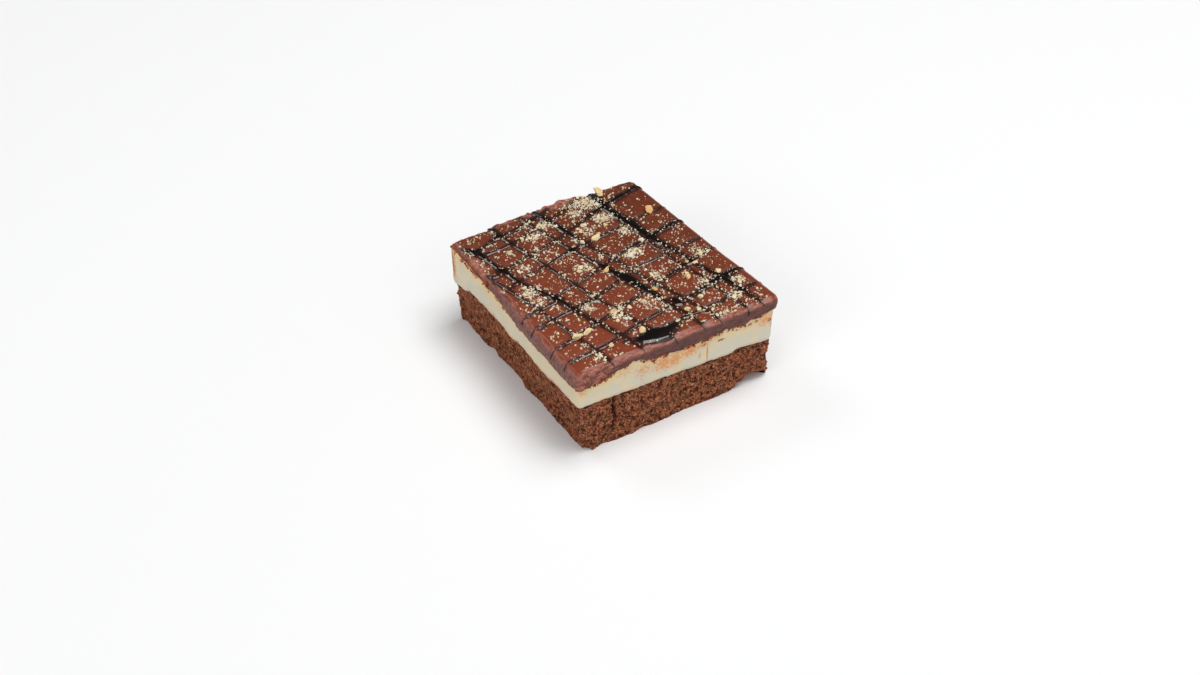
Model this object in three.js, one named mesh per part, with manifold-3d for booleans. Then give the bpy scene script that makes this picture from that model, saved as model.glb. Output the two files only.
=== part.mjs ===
// A cut square of layered cake: a crumbly chocolate sponge, a layer of set milk cream and a milk chocolate
// topping, with a lattice of dark syrup poured over it and chopped nuts strewn on top.
//
// Millimetres, +Z up. The origin is under the middle of the whole, on the surface that the cake stands on.
// The square is seen in plan with its front side towards -Y, its left side towards -X, and so on.
// The upper layers hang out over the sponge on the left, and the topping has a lip at the back, so the sponge's
// footprint lies a little right and in front of the origin. Every place below is measured from the middle of
// that footprint, and the group is moved at the end.

import * as THREE from "three";
import { mergeVertices } from "three/addons/utils/BufferGeometryUtils.js";
import Module from "manifold-3d";

const wasm = await Module();
wasm.setup();

// Overall sizes
const FOOT_WIDTH = 79;
const LENGTH = 93.6;
const TOP = 36;
const OVERHANG = 2.8;
const LIP = 1;
const FLARE = 1.2;
const BACK_LIP = 2.1;
const FOOTPRINT_X = (OVERHANG + LIP - FLARE) / 2;
const FOOTPRINT_Y = -BACK_LIP / 2;

// Clearance between two layers, at their edges and inside
const LAYER_GAP = 0.4;
const INNER_GAP = 1.2;

// Corner radii in plan, named by where they are seen from above
const CORNERS = { frontLeft: 2.4, frontRight: 3.6, backRight: 3.5, backLeft: 4 };

// Height of the sponge's upper edge round the four sides, as [distance along the side, height].
// Front and back are measured along X, left and right along Y.
const SPONGE_EDGE = {
  front: [[-42, 21], [-30, 20.8], [-10, 19.7], [10, 18.8], [20, 18.1], [25, 19], [39.5, 17.5]],
  right: [[-46.8, 17.5], [-20, 19.5], [5, 18.4], [28, 19.8], [46.8, 19]],
  back: [[-42, 18], [-15, 19.6], [14, 18.6], [39.5, 19]],
  left: [[-46.8, 21], [-20, 20.3], [-8, 22], [0, 20.7], [10, 22], [28, 22], [38, 19.6], [46.8, 18]],
};

// Height of the cream's upper edge, likewise
const CREAM_EDGE = {
  front: [[-42, 29.7], [-33, 30.2], [-20, 33], [-10, 31], [-3, 30.1], [20, 30.5], [26.5, 29.4], [31, 31.4], [39.5, 31]],
  right: [[-46.8, 31], [-25, 30.2], [0, 31.4], [22, 30.4], [46.8, 31.6]],
  back: [[-42, 33.2], [-20, 32], [8, 30.8], [39.5, 31.6]],
  left: [[-46.8, 29.7], [-25, 30.2], [-10, 31], [8, 32.7], [30, 34], [38, 33], [46.8, 33.2]],
};

// Levels inside the cake where the two boundaries run flat
const SPONGE_LEVEL = 19.6;
const CREAM_LEVEL = 31;

// How far the topping stands out from the back side, as [x, share of the lip]
const LIP_SHARES = [[-42, -0.45], [-27, -0.4], [-22, 0.4], [-5, 0.55], [1, 1], [13, 1], [17, 0.1], [39.5, 0]];

// Topping: how far its top edge is drawn in, on the cut sides and on the sloping left side
const CREASE = 1.9;
const CREASE_DEPTH = 1.8;
const SLOPE = 3.3;
const SLOPE_DEPTH = 6.2;
const RAGGED = 0.45;

// Sponge: crags on its sides, its slope inwards on the left, and hollows where crumbs have fallen out
const CRAG_DEPTH = 1.7;
const CRAG_SIZE = 5.2;
const HOLLOWS = 34;
const HOLLOW_RADII = [0.9, 1.9];

// Stations round the outline: about one every 3.2 mm
const STATIONS = 108;

// Syrup: height of a strand over the top, and how deep it sits in it
const STRAND_HEIGHT = 0.55;
const STRAND_ROOT = 0.35;
const STRAND_STEP = 9;

// Drips down the sides: the thickest a drip's round section may be, and how finely it is laid
const FALL_RADIUS = 0.55;
const FALL_STEP = 2.2;
const FALL_SIDES = 5;

// Strands poured down the length, from the back to the front. Each waypoint is [x, y, width].
// fall is how far the strand runs down the side at its front end, startFall at its other end.
const LENGTHWAYS = [
  { way: [[-39.5, 19, 0.9], [-37, 3, 1], [-33.7, -14, 1], [-31, -31, 1], [-28.6, -44.8, 1.1]], fall: 4.6 },
  { way: [[-38, 38, 2], [-35, 27, 2.3], [-32.6, 17, 2.4], [-28.5, 2, 1.8], [-26, -7, 2.2], [-22.3, -22, 1.6],
    [-17.5, -37, 1.6], [-15.8, -44.8, 0.9]], fall: 2 },
  { way: [[-24.6, 45, 1.9], [-22.5, 31, 1.6], [-19, 13, 1.1], [-15.7, -5, 1.1], [-12, -21, 1.1], [-7.6, -38, 1.2]],
    startFall: 2.5 },
  { way: [[-11.6, 45, 1.3], [-8.3, 28, 1.3], [-4.5, 12, 1.6], [-1.4, 0, 2], [1.8, -10, 3], [4.5, -22, 2],
    [7.3, -37, 1.3], [9, -44.8, 1.1]], startFall: 3, fall: 4.8 },
  { way: [[-5, 45, 2.2], [-2.6, 34, 2.2], [0, 20, 1.9], [3.5, 7, 1.2], [6.5, -9, 1.2], [10.3, -22, 1.2],
    [15.8, -44.8, 1.1]], startFall: 2, fall: 3 },
  { way: [[19.9, 45, 2.6], [20.3, 31, 2], [22, 21, 2.4], [23.6, 8, 2.4], [26.3, -5, 1.7], [29, -20, 1.6],
    [31.4, -30, 2], [34.1, -44.8, 1.3]], startFall: 4, fall: 2.6 },
  { way: [[20.6, 17, 1], [21.7, -1, 1], [24.5, -20, 1], [27.8, -44.8, 1.1]], fall: 5 },
];

// Strands poured across it, from the left to the right. fall is at the right end, startFall at the left.
const CROSSWAYS = [
  { way: [[-39.5, 39.6, 2.2], [-33, 37.5, 2], [-16, 42, 1.7], [-2, 45, 1.2]], startFall: 2.4 },
  { way: [[-36, 31.5, 1], [-23, 34, 1.1], [-5, 39.5, 1.2], [12, 44.7, 1]] },
  { way: [[-34, 18.7, 1.2], [-20, 22.3, 1], [-8, 25.4, 1.1], [1, 29, 1.2], [17, 34.8, 1.5], [37.6, 40.6, 1.8]], fall: 3 },
  { way: [[-31, 10.5, 0.9], [-17, 14, 0.9], [-5, 17, 1.6], [14, 19.7, 1.1], [37.6, 23.5, 1]], fall: 2 },
  { way: [[-27, -4.6, 1], [-12, -1, 1], [4, 4.3, 1.1], [17, 7.5, 1.5], [37.6, 12.2, 1.9]], fall: 3.6 },
  { way: [[-39.8, -9.2, 1.2], [-24, -7, 1]], startFall: 3.4 },
  { way: [[-24, -14, 1.2], [-8, -10.7, 1], [5.5, -5.6, 1], [16, -4.3, 1], [37.6, -1.5, 1]], fall: 1.6 },
  { way: [[-39.8, -16.9, 1.2], [-25, -14.7, 1.2], [-14, -14, 1]], startFall: 4.2 },
  { way: [[7, -17.8, 1.2], [17, -15, 1.6], [26, -12, 1.7], [37.6, -9.2, 1.2]], fall: 3.2 },
  { way: [[-39.9, -30.4, 1.1], [-31, -28, 1.2], [-15, -23.7, 1.3], [0, -19.6, 1.2], [8, -18, 1]], startFall: 5 },
  { way: [[-40, -38.7, 1.2], [-27, -37.7, 1.2], [-10, -33.7, 1.2], [2, -31.6, 1.2], [14, -29.8, 1.4],
    [30, -26.3, 2.4], [37.6, -25, 2]], startFall: 5.2, fall: 4.5 },
  { way: [[-19, -39.6, 1.2], [-4, -40.4, 2], [7, -38.7, 1.3], [22, -37.9, 1.3], [37.6, -35.3, 1.4]], fall: 2.4 },
];

// Syrup pools, as [x, y, width, length, turn in degrees]. The first is the wide one by the front edge.
const POOLS = [
  [-8, -41, 15.5, 4.6, 6], [-33.2, 18, 5, 4.6, 0], [-26.2, -6, 4.6, 4.4, 0], [-25, 39.6, 4, 4, 0],
  [-38, 38.6, 4.6, 3.4, 10], [-5.4, 17, 4.6, 3.6, 30], [-1, 1.6, 4.2, 5, 20], [1.9, -8, 4.4, 7, 12],
  [20.2, 44.2, 4.2, 3.6, 0], [22, 21.4, 4.4, 4.6, 0], [24, 8.2, 4.6, 3.6, 0], [31.3, -26.6, 6.4, 4, 0],
  [32.4, -36.6, 4, 3.2, 0], [-10, 43.8, 4, 2.6, 20], [9, -29.6, 4.4, 6.4, 20], [26.5, -12.4, 4.6, 3.2, 15],
];
const POOL_HEIGHT = 0.6;
const POOL_SIDES = 9;

// Larger chips of nut, as [x, y, width, length, turn in degrees]
const CHIPS = [
  [22.6, 44, 3.4, 4.8, 10], [32.6, 23.4, 3.8, 4.4, -20], [5.4, 18.2, 4.4, 2.8, 15], [-0.4, 18.8, 2, 2.6, 0],
  [-2.2, -0.9, 2.8, 2.6, 30], [-31.6, -28.9, 3.8, 3.2, 0], [-27.4, -28.7, 4.6, 1.9, 20],
  [-13.3, -23, 2.3, 2.2, 0], [-10.9, -37.6, 2.6, 3.6, -20], [-24.3, -39, 2, 2.6, -30], [19, 8.3, 3, 3.4, -40],
  [20, -20.6, 2.6, 4.8, -35], [6, -20, 2.8, 2.4, 0], [31.5, -23.1, 3.3, 2.6, 20], [32.6, -10.4, 2.8, 3.4, -20],
  [28, -14.1, 2.8, 2.6, 0], [9, -36.2, 2.6, 3.6, 0], [12.7, -38, 2.2, 1.8, 0], [25.6, -12, 1.9, 1.8, 0],
  [17, -32.6, 4.2, 3, 30], [-9.6, 4.8, 2.2, 2, 0], [27.6, -38.2, 2.6, 2, 30], [14.6, 40, 2.4, 3, 0],
];
const CHIP_HEIGHT = 0.62;
const CHIP_ROUGHNESS = 0.16;

const material = (name, color, roughness) =>
  new THREE.MeshStandardMaterial({ name, color, roughness, metalness: 0 });
const SPONGE = material("sponge", 0x71432f, 0.95);
const CREAM = material("cream", 0xd6cbb0, 0.5);
const CHOCOLATE = material("chocolate", 0x7a412e, 0.4);

// Repeatable chance: the same draws come each time the part is made.
function dice(seed) {
  let state = seed;
  return (low, high) => {
    state = (state * 16807) % 2147483647;
    return low + ((high - low) * state) / 2147483647;
  };
}

// A number from 0 to 1 for each point of a whole-number lattice.
function lattice(i, j, k) {
  const wave = Math.sin(i * 127.1 + j * 311.7 + k * 74.7) * 43758.5453;
  return wave - Math.floor(wave);
}

// Smooth noise from 0 to 1, with lumps about one unit across.
function noise(x, y, z) {
  const corner = [x, y, z].map(Math.floor);
  const [u, v, w] = [x, y, z].map((value, axis) => THREE.MathUtils.smoothstep(value - corner[axis], 0, 1));
  const { lerp } = THREE.MathUtils;
  const at = (i, j, k) => lattice(corner[0] + i, corner[1] + j, corner[2] + k);
  const edge = (j, k) => lerp(at(0, j, k), at(1, j, k), u);
  return lerp(lerp(edge(0, 0), edge(1, 0), v), lerp(edge(0, 1), edge(1, 1), v), w);
}

// Height at one distance along a side, running smoothly through the side's [distance, height] pairs.
function along(profile, distance) {
  const next = profile.findIndex(([place]) => place > distance);
  if (next <= 0) return next === 0 ? profile[0][1] : profile.at(-1)[1];
  const [[start, low], [end, high]] = [profile[next - 1], profile[next]];
  return THREE.MathUtils.lerp(low, high, THREE.MathUtils.smoothstep(distance, start, end));
}

const LEFT = -FOOT_WIDTH / 2 - OVERHANG;
const RIGHT = FOOT_WIDTH / 2;
const BACK = LENGTH / 2;
const FRONT = -BACK;
const MIDDLE_X = (LEFT + RIGHT) / 2;

// The right side spreads a little towards the front.
const rightAt = (y) => RIGHT + (FLARE * (BACK - y)) / LENGTH;

// The outline seen from above, anticlockwise from the front left corner.
function planOutline() {
  const corners = [
    { x: LEFT, y: FRONT, radius: CORNERS.frontLeft },
    { x: rightAt(FRONT), y: FRONT, radius: CORNERS.frontRight },
    { x: rightAt(BACK), y: BACK, radius: CORNERS.backRight },
    { x: LEFT, y: BACK, radius: CORNERS.backLeft },
  ];
  const towards = (from, to) => {
    const share = from.radius / Math.hypot(to.x - from.x, to.y - from.y);
    return [THREE.MathUtils.lerp(from.x, to.x, share), THREE.MathUtils.lerp(from.y, to.y, share)];
  };
  const shape = new THREE.Shape().moveTo(...towards(corners[0], corners[1]));
  [1, 2, 3, 0].forEach((index) => {
    const [corner, before, after] = [corners[index], corners.at(index - 1), corners[(index + 1) % 4]];
    shape.lineTo(...towards(corner, before)).quadraticCurveTo(corner.x, corner.y, ...towards(corner, after));
  });
  return shape;
}

// Which side a place near the edge belongs to, and how far along that side it is.
function sideOf(x, y) {
  const reach = {
    front: FRONT - y,
    right: x - rightAt(y),
    back: y - BACK,
    left: LEFT - x,
  };
  const side = Object.keys(reach).reduce((best, name) => (reach[name] > reach[best] ? name : best));
  return { side, distance: side === "front" || side === "back" ? x : y };
}

function edgeHeight(profiles, x, y) {
  const { side, distance } = sideOf(x, y);
  return along(profiles[side], distance);
}

const spongeTop = (x, y) => edgeHeight(SPONGE_EDGE, x, y);
const creamTop = (x, y) => edgeHeight(CREAM_EDGE, x, y) + RAGGED * (2 * noise(x / 2.6, y / 2.6, 9) - 1);

// Stations round the outline, each with its place and the direction straight out from the side.
const outline = planOutline();
const stations = Array.from({ length: STATIONS }, (_, index) => {
  const share = index / STATIONS;
  const place = outline.getPointAt(share);
  const tangent = outline.getTangentAt(share);
  return { x: place.x, y: place.y, outX: tangent.y, outY: -tangent.x, ...sideOf(place.x, place.y) };
});

// A ring of the layer: out moves it straight out from the outline, in draws it towards the middle, z is its height.
const ring = (z, { out = () => 0, draw = 1 } = {}) => ({ z, out, draw });
const flat = (level) => () => level;

// One layer as a closed drum whose rings are laid, bottom first, along the outline.
function layer(rings) {
  const geometry = new THREE.CylinderGeometry(1, 1, 1, STATIONS, rings.length - 1).rotateX(Math.PI / 2);
  const position = geometry.getAttribute("position");
  for (let i = 0; i < position.count; i++) {
    const [x, y, z] = [position.getX(i), position.getY(i), position.getZ(i)];
    const { z: height, out, draw } = rings[Math.round((z + 0.5) * (rings.length - 1))];
    const turn = Math.atan2(x, -y) / (2 * Math.PI) + 1;
    const station = stations[Math.round(turn * STATIONS) % STATIONS];
    const isCentre = Math.hypot(x, y) < 0.5;
    const level = height(station);
    const shift = out(station, level);
    position.setXYZ(
      i,
      isCentre ? MIDDLE_X : MIDDLE_X + draw * (station.x + station.outX * shift - MIDDLE_X),
      isCentre ? 0 : draw * (station.y + station.outY * shift),
      level,
    );
  }
  return solid(geometry);
}

// A closed three.js geometry as a solid that can be joined and cut.
function solid(geometry) {
  const bare = geometry.clone();
  bare.deleteAttribute("normal");
  bare.deleteAttribute("uv");
  const merged = mergeVertices(bare, 1e-4);
  return new wasm.Manifold(
    new wasm.Mesh({
      numProp: 3,
      vertProperties: merged.getAttribute("position").array,
      triVerts: new Uint32Array(merged.index.array),
    }),
  );
}

const joined = (first, others) => others.reduce((whole, piece) => whole.add(piece), first);
const cutBy = (first, others) => others.reduce((whole, piece) => whole.subtract(piece), first);

function meshOf(name, body, finish) {
  const { vertProperties, triVerts } = body.getMesh();
  const geometry = new THREE.BufferGeometry();
  geometry.setAttribute("position", new THREE.BufferAttribute(vertProperties, 3));
  geometry.setIndex(new THREE.BufferAttribute(triVerts, 1));
  geometry.computeVertexNormals();
  const mesh = new THREE.Mesh(geometry, finish);
  mesh.name = name;
  return mesh;
}

// A lump: a faceted ball stretched to the given radii, turned about Z, with its corners moved at random.
function lump(place, radii, { detail = 0, turn = 0, roughness = 0, roll } = {}) {
  const geometry = new THREE.IcosahedronGeometry(1, detail);
  const position = geometry.getAttribute("position");
  const salt = roll ? roll(0, 50) : 0;
  for (let i = 0; i < position.count; i++) {
    const [x, y, z] = [position.getX(i), position.getY(i), position.getZ(i)];
    const swell = 1 + roughness * (2 * noise(2 * x + salt, 2 * y, 2 * z) - 1);
    position.setXYZ(i, x * swell, y * swell, z * swell);
  }
  geometry.scale(...radii);
  geometry.rotateZ(THREE.MathUtils.degToRad(turn));
  geometry.translate(...place);
  return solid(geometry);
}

// Sponge: its sides are crags, and the left side slopes in towards the bottom
function crags(station, level) {
  const { x, y } = station;
  const coarse = noise(x / CRAG_SIZE, y / CRAG_SIZE, level / CRAG_SIZE);
  const fine = noise(x / 2.4, y / 2.4, level / 2.4 + 31);
  const lean = OVERHANG * Math.max(0, -station.outX) * (1 - 0.75 * (level / spongeTop(x, y)) ** 2);
  return -(0.25 + CRAG_DEPTH * coarse * coarse + 0.5 * fine + lean);
}

const spongeLevels = [0.08, 0.24, 0.41, 0.58, 0.75, 0.91];

function spongeHollows() {
  const roll = dice(41);
  const hollows = [];
  for (let i = 0; i < HOLLOWS; i++) {
    const station = stations[Math.floor(roll(0, STATIONS))];
    const size = roll(...HOLLOW_RADII);
    const level = roll(2, spongeTop(station.x, station.y) - 2.2);
    const inset = crags(station, level) + 0.25 * size;
    hollows.push(lump(
      [station.x + station.outX * inset, station.y + station.outY * inset, level],
      [size * roll(0.8, 1.3), size * roll(0.8, 1.3), size * roll(0.6, 1)],
      { turn: roll(0, 90), roughness: 0.2, roll },
    ));
  }
  return hollows;
}

// Where the cake broke away underneath at both ends of the front side, and the crack near its left end
function spongeBreaks() {
  const crack = new THREE.ConeGeometry(1, 18, 5)
    .rotateX(-Math.PI / 2)
    .scale(0.9, 2.2, 1)
    .rotateY(0.06)
    .translate(-27, FRONT + 1.1, 12.4);
  return [
    lump([33.5, FRONT - 1, 0], [10, 7, 4.4], { detail: 1, roughness: 0.12 }),
    lump([LEFT + 0.6, FRONT - 0.4, 0], [5.4, 5.2, 5.4], { detail: 1, roughness: 0.12 }),
    solid(crack),
  ];
}

function makeSponge() {
  const top = ({ x, y }) => spongeTop(x, y) - LAYER_GAP / 2;
  const body = layer([
    ring(flat(0), { draw: 0.8 }),
    ring(flat(0), { out: crags }),
    ...spongeLevels.map((share) => ring(({ x, y }) => share * spongeTop(x, y), { out: crags })),
    ring(top, { out: () => -0.3 }),
    ring(flat(SPONGE_LEVEL), { draw: 0.88 }),
  ]);
  return meshOf("sponge_base", cutBy(body, [...spongeBreaks(), ...spongeHollows()]), SPONGE);
}

// Cream: smooth sides that swell a little between the other layers
function makeCream() {
  const low = ({ x, y }) => spongeTop(x, y) + LAYER_GAP / 2;
  const high = ({ x, y }) => creamTop(x, y) - LAYER_GAP / 2;
  const between = (share) => (station) => THREE.MathUtils.lerp(low(station), high(station), share);
  const swell = ({ x, y }, level) => -0.12 - 0.22 * noise(x / 7, y / 7, level / 5);
  return meshOf(
    "cream_layer",
    layer([
      ring(flat(SPONGE_LEVEL + INNER_GAP), { draw: 0.88 }),
      ring(low, { out: () => -0.3 }),
      ring(between(0.25), { out: swell }),
      ring(between(0.7), { out: swell }),
      ring(high, { out: () => -0.25 }),
      ring(flat(CREAM_LEVEL), { draw: 0.88 }),
    ]),
    CREAM,
  );
}

// Topping: how far its side lies out from the outline at a depth below the top
function toppingOut({ x, outX, outY }, depth) {
  const slope = Math.max(0, -outX);
  const lip = BACK_LIP * Math.max(0, outY) * along(LIP_SHARES, x);
  const crease = CREASE * (1 - Math.min(1, depth / CREASE_DEPTH)) ** 2;
  const bevel = SLOPE * (1 - Math.min(1, depth / SLOPE_DEPTH));
  return slope * LIP + lip - THREE.MathUtils.lerp(crease, bevel, slope);
}

function toppingRing(share, drop = 0) {
  const low = ({ x, y }) => creamTop(x, y) + LAYER_GAP / 2;
  const z = (station) => THREE.MathUtils.lerp(TOP, low(station), share);
  return ring(z, { out: (station, level) => toppingOut(station, TOP - level) - drop });
}

// A place on the topping's side, at a depth below the top
function onSide(x, y, depth) {
  const { side } = sideOf(x, y);
  const [outX, outY] = { front: [0, -1], right: [1, 0], back: [0, 1], left: [-1, 0] }[side];
  const shift = toppingOut({ x, outX, outY }, depth);
  const edge = {
    front: [x, FRONT - shift],
    right: [rightAt(y) + shift, y],
    back: [x, BACK + shift],
    left: [LEFT - shift, y],
  }[side];
  return new THREE.Vector3(...edge, TOP - depth);
}

// A strand's section: x runs down and y sideways, with a flat back and a wider root
const section = new THREE.Shape([
  new THREE.Vector2(STRAND_ROOT, -1.1),
  new THREE.Vector2(STRAND_ROOT, 1.1),
  new THREE.Vector2(-STRAND_HEIGHT, 0.5),
  new THREE.Vector2(-STRAND_HEIGHT, -0.5),
]);

// A strand that lies on the top, with its width changing from waypoint to waypoint
function strand(way) {
  const points = way.map(([x, y]) => new THREE.Vector3(x, y, TOP));
  const path = new THREE.CatmullRomCurve3(points, false, "centripetal");
  const steps = Math.ceil(path.getLength() / STRAND_STEP);
  const geometry = new THREE.ExtrudeGeometry(section, { steps, extrudePath: path, bevelEnabled: false });
  const spaced = path.getSpacedPoints(steps);
  const position = geometry.getAttribute("position");
  const vertex = new THREE.Vector3();
  for (let i = 0; i < position.count; i++) {
    vertex.fromBufferAttribute(position, i);
    const near = spaced.reduce((best, point) =>
      point.distanceToSquared(vertex) < best.distanceToSquared(vertex) ? point : best);
    const half = widthAt(way, near) / 2;
    position.setXY(i, near.x + (vertex.x - near.x) * half, near.y + (vertex.y - near.y) * half);
  }
  return solid(geometry);
}

// The width of a strand at a place on it, weighed between the two nearest waypoints
function widthAt(way, place) {
  const near = way
    .map(([x, y, width]) => ({ width, distance: Math.hypot(x - place.x, y - place.y) }))
    .sort((a, b) => a.distance - b.distance);
  const [first, second] = near;
  return THREE.MathUtils.lerp(first.width, second.width, first.distance / (first.distance + second.distance));
}

// A drip that runs from a strand's end over the edge and down the topping's side
function fall([x, y, width], length) {
  const { side } = sideOf(x, y);
  const drift = side === "front" || side === "back" ? [0.25, 0] : [0, -0.2];
  const room = TOP - creamTop(x, y) - LAYER_GAP - width / 2;
  const reach = Math.min(length, room);
  const depths = [0.05, 0.5, 1.2, reach].filter((depth, index) => index === 3 || depth < reach - 0.4);
  const inward = new THREE.Vector3(x, y, TOP - 0.05);
  const points = depths.map((depth) => onSide(x + drift[0] * depth, y + drift[1] * depth, depth));
  const path = new THREE.CatmullRomCurve3([inward, ...points], false, "centripetal");
  const steps = Math.max(3, Math.ceil(path.getLength() / FALL_STEP));
  const rim = new THREE.Path().absarc(0, 0, Math.min(0.45 * width, FALL_RADIUS), 0, 2 * Math.PI);
  const round = new THREE.Shape(rim.getSpacedPoints(FALL_SIDES).slice(1));
  return solid(
    new THREE.ExtrudeGeometry(round, { steps, extrudePath: path, bevelEnabled: false }),
  );
}

function syrup() {
  const pieces = [...LENGTHWAYS, ...CROSSWAYS].flatMap(({ way, fall: drop, startFall }) => [
    strand(way),
    ...(drop ? [fall(way.at(-1), drop)] : []),
    ...(startFall ? [fall(way[0], startFall)] : []),
  ]);
  const pools = POOLS.map(([x, y, width, length, turn]) => solid(
    new THREE.CylinderGeometry(0.7, 1.05, 2 * POOL_HEIGHT, POOL_SIDES)
      .rotateX(Math.PI / 2)
      .scale(width / 2, length / 2, 1)
      .rotateZ(THREE.MathUtils.degToRad(turn))
      .translate(x, y, TOP),
  ));
  return [...pieces, ...pools];
}

function nutChips() {
  const roll = dice(7);
  return CHIPS.map(([x, y, width, length, turn]) => {
    const height = (CHIP_HEIGHT * (width + length)) / 4;
    return lump([x, y, TOP + 0.45 * height], [width / 2, length / 2, height], {
      turn,
      roughness: CHIP_ROUGHNESS,
      roll,
    });
  });
}

function makeTopping() {
  const low = ({ x, y }) => creamTop(x, y) + LAYER_GAP / 2;
  const body = layer([
    ring(flat(CREAM_LEVEL + INNER_GAP), { draw: 0.88 }),
    toppingRing(1, 0.35),
    toppingRing(0.8),
    toppingRing(0.4),
    toppingRing(0.2),
    toppingRing(0.07),
    ring(flat(TOP), { out: (station) => toppingOut(station, 0) }),
  ]);
  return meshOf("chocolate_topping", joined(body, [...syrup(), ...nutChips()]), CHOCOLATE);
}

const cake = new THREE.Group();
cake.name = "cake_square";
cake.add(makeSponge(), makeCream(), makeTopping());
cake.position.set(FOOTPRINT_X, FOOTPRINT_Y, 0);

export default cake;
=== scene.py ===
"""Looks of a cut square of layered chocolate cake.

It has a crumbly sponge, set cream, a milk chocolate topping, a lattice of dark syrup and chopped nuts. Shapes
are worked out in millimetres from the middle of the sponge's footprint, with the front side towards -Y and
the overhanging left side towards -X. They are moved to the model's own frame, in metres, at the very end.
"""

import logging
import math
import random
from dataclasses import dataclass, field
from enum import Enum

import bmesh
import bpy
import numpy as np
from mathutils import Matrix, Vector, noise


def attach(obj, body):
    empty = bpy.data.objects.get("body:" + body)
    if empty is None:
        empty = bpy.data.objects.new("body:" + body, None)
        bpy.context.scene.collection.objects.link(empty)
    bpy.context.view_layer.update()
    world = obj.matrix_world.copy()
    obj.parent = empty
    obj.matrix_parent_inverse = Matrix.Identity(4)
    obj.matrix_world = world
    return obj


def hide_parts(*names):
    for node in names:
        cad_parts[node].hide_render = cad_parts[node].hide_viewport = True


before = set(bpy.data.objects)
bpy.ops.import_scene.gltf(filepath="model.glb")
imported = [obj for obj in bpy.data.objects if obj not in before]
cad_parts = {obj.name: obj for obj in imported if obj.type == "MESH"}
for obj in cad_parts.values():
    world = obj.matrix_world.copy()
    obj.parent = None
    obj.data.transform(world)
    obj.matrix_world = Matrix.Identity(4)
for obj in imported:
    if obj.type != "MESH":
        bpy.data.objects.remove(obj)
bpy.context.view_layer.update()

LOG = logging.getLogger("cake_square")
MM = 0.001
FAR = 99.0

Pair = tuple[float, float]
Triple = tuple[float, float, float]
Rows = tuple[tuple[float, ...], ...]
Points = np.ndarray


class Side(Enum):
    """A side of the square, with the direction that it faces."""

    FRONT = (0.0, -1.0)
    RIGHT = (1.0, 0.0)
    BACK = (0.0, 1.0)
    LEFT = (-1.0, 0.0)


# Numbers and noise


def eased(share: Points | float) -> Points | float:
    """Bends a share from 0 to 1 so that it starts and ends gently."""
    return share * share * (3 - 2 * share)


def ramp(value: Points, low: float, high: float) -> Points:
    """Rises smoothly from 0 at low to 1 at high."""
    return eased(np.clip((value - low) / (high - low), 0, 1))


def along(pairs: Rows, distance: Points) -> Points:
    """Runs smoothly through [distance, value] pairs.

    Args:
        pairs: places along a side, each with its value, in rising order.
        distance: where the values are wanted.

    Returns:
        The value at each distance.
    """
    places, values = np.array(pairs, float).T
    index = np.clip(np.searchsorted(places, distance, side="right"), 1, len(places) - 1)
    share = ramp(distance, places[index - 1], places[index])
    return values[index - 1] + (values[index] - values[index - 1]) * share


def smooth_noise(x: Points, y: Points, z: Points) -> Points:
    """Gives smooth noise from 0 to 1, with lumps about one unit across.

    Args:
        x: first coordinate of each place.
        y: second coordinate.
        z: third coordinate.

    Returns:
        The noise at each place.
    """
    place = np.broadcast_arrays(*[np.asarray(part, float) for part in (x, y, z)])
    corner = [np.floor(part) for part in place]
    u, v, w = [eased(part - low) for part, low in zip(place, corner)]

    def at(i: int, j: int, k: int) -> Points:
        """Gives the chance value at one corner of each place's cell."""
        wave = np.sin((corner[0] + i) * 127.1 + (corner[1] + j) * 311.7 + (corner[2] + k) * 74.7) * 43758.5453
        return wave - np.floor(wave)

    def edge(j: int, k: int) -> Points:
        """Blends the two corners of one edge of the cell."""
        return at(0, j, k) * (1 - u) + at(1, j, k) * u

    near = edge(0, 0) * (1 - v) + edge(1, 0) * v
    far = edge(0, 1) * (1 - v) + edge(1, 1) * v
    return near * (1 - w) + far * w


def patches(x: Points, y: Points, size: float, salt: float) -> Points:
    """Gives smooth noise from 0 to 1 that is the same at all heights, with patches of that size."""
    return smooth_noise(x / size, y / size, salt)


def blob(x: Points, y: Points, middle: Pair, reach: Pair) -> Points:
    """Gives a soft spot that is 1 at its middle and fades out past its reach."""
    return np.exp(-(((x - middle[0]) / reach[0]) ** 2) - ((y - middle[1]) / reach[1]) ** 2)


def strongest(spots: Rows, x: Points, y: Points) -> Points:
    """Lays soft spots over one another, where the strongest counts.

    Args:
        spots: the spots, as [x, y, width, length, strength].
        x: first coordinate of each place.
        y: second coordinate.

    Returns:
        The strength at each place.
    """
    laid = [strength * blob(x, y, (px, py), (wide, long)) for px, py, wide, long, strength in spots]
    return np.max(laid, axis=0)


# Plan of the square


@dataclass(frozen=True)
class Ring:
    """Places round the outline, in order, with the way straight out and the side that each belongs to."""

    x: Points
    y: Points
    out_x: Points
    out_y: Points
    side: Points
    distance: Points

    def spread(self, station: Points) -> "Ring":
        """Gives the ring's values for each corner of a mesh, from the station that the corner belongs to."""
        return Ring(*[part[station] for part in vars(self).values()])

    def on(self, side: Side) -> Points:
        """Tells which places belong to a side."""
        return self.side == list(Side).index(side)

    def moved(self, out: Points) -> tuple[Points, Points]:
        """Moves each place straight out by its own distance."""
        return self.x + self.out_x * out, self.y + self.out_y * out


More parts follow.
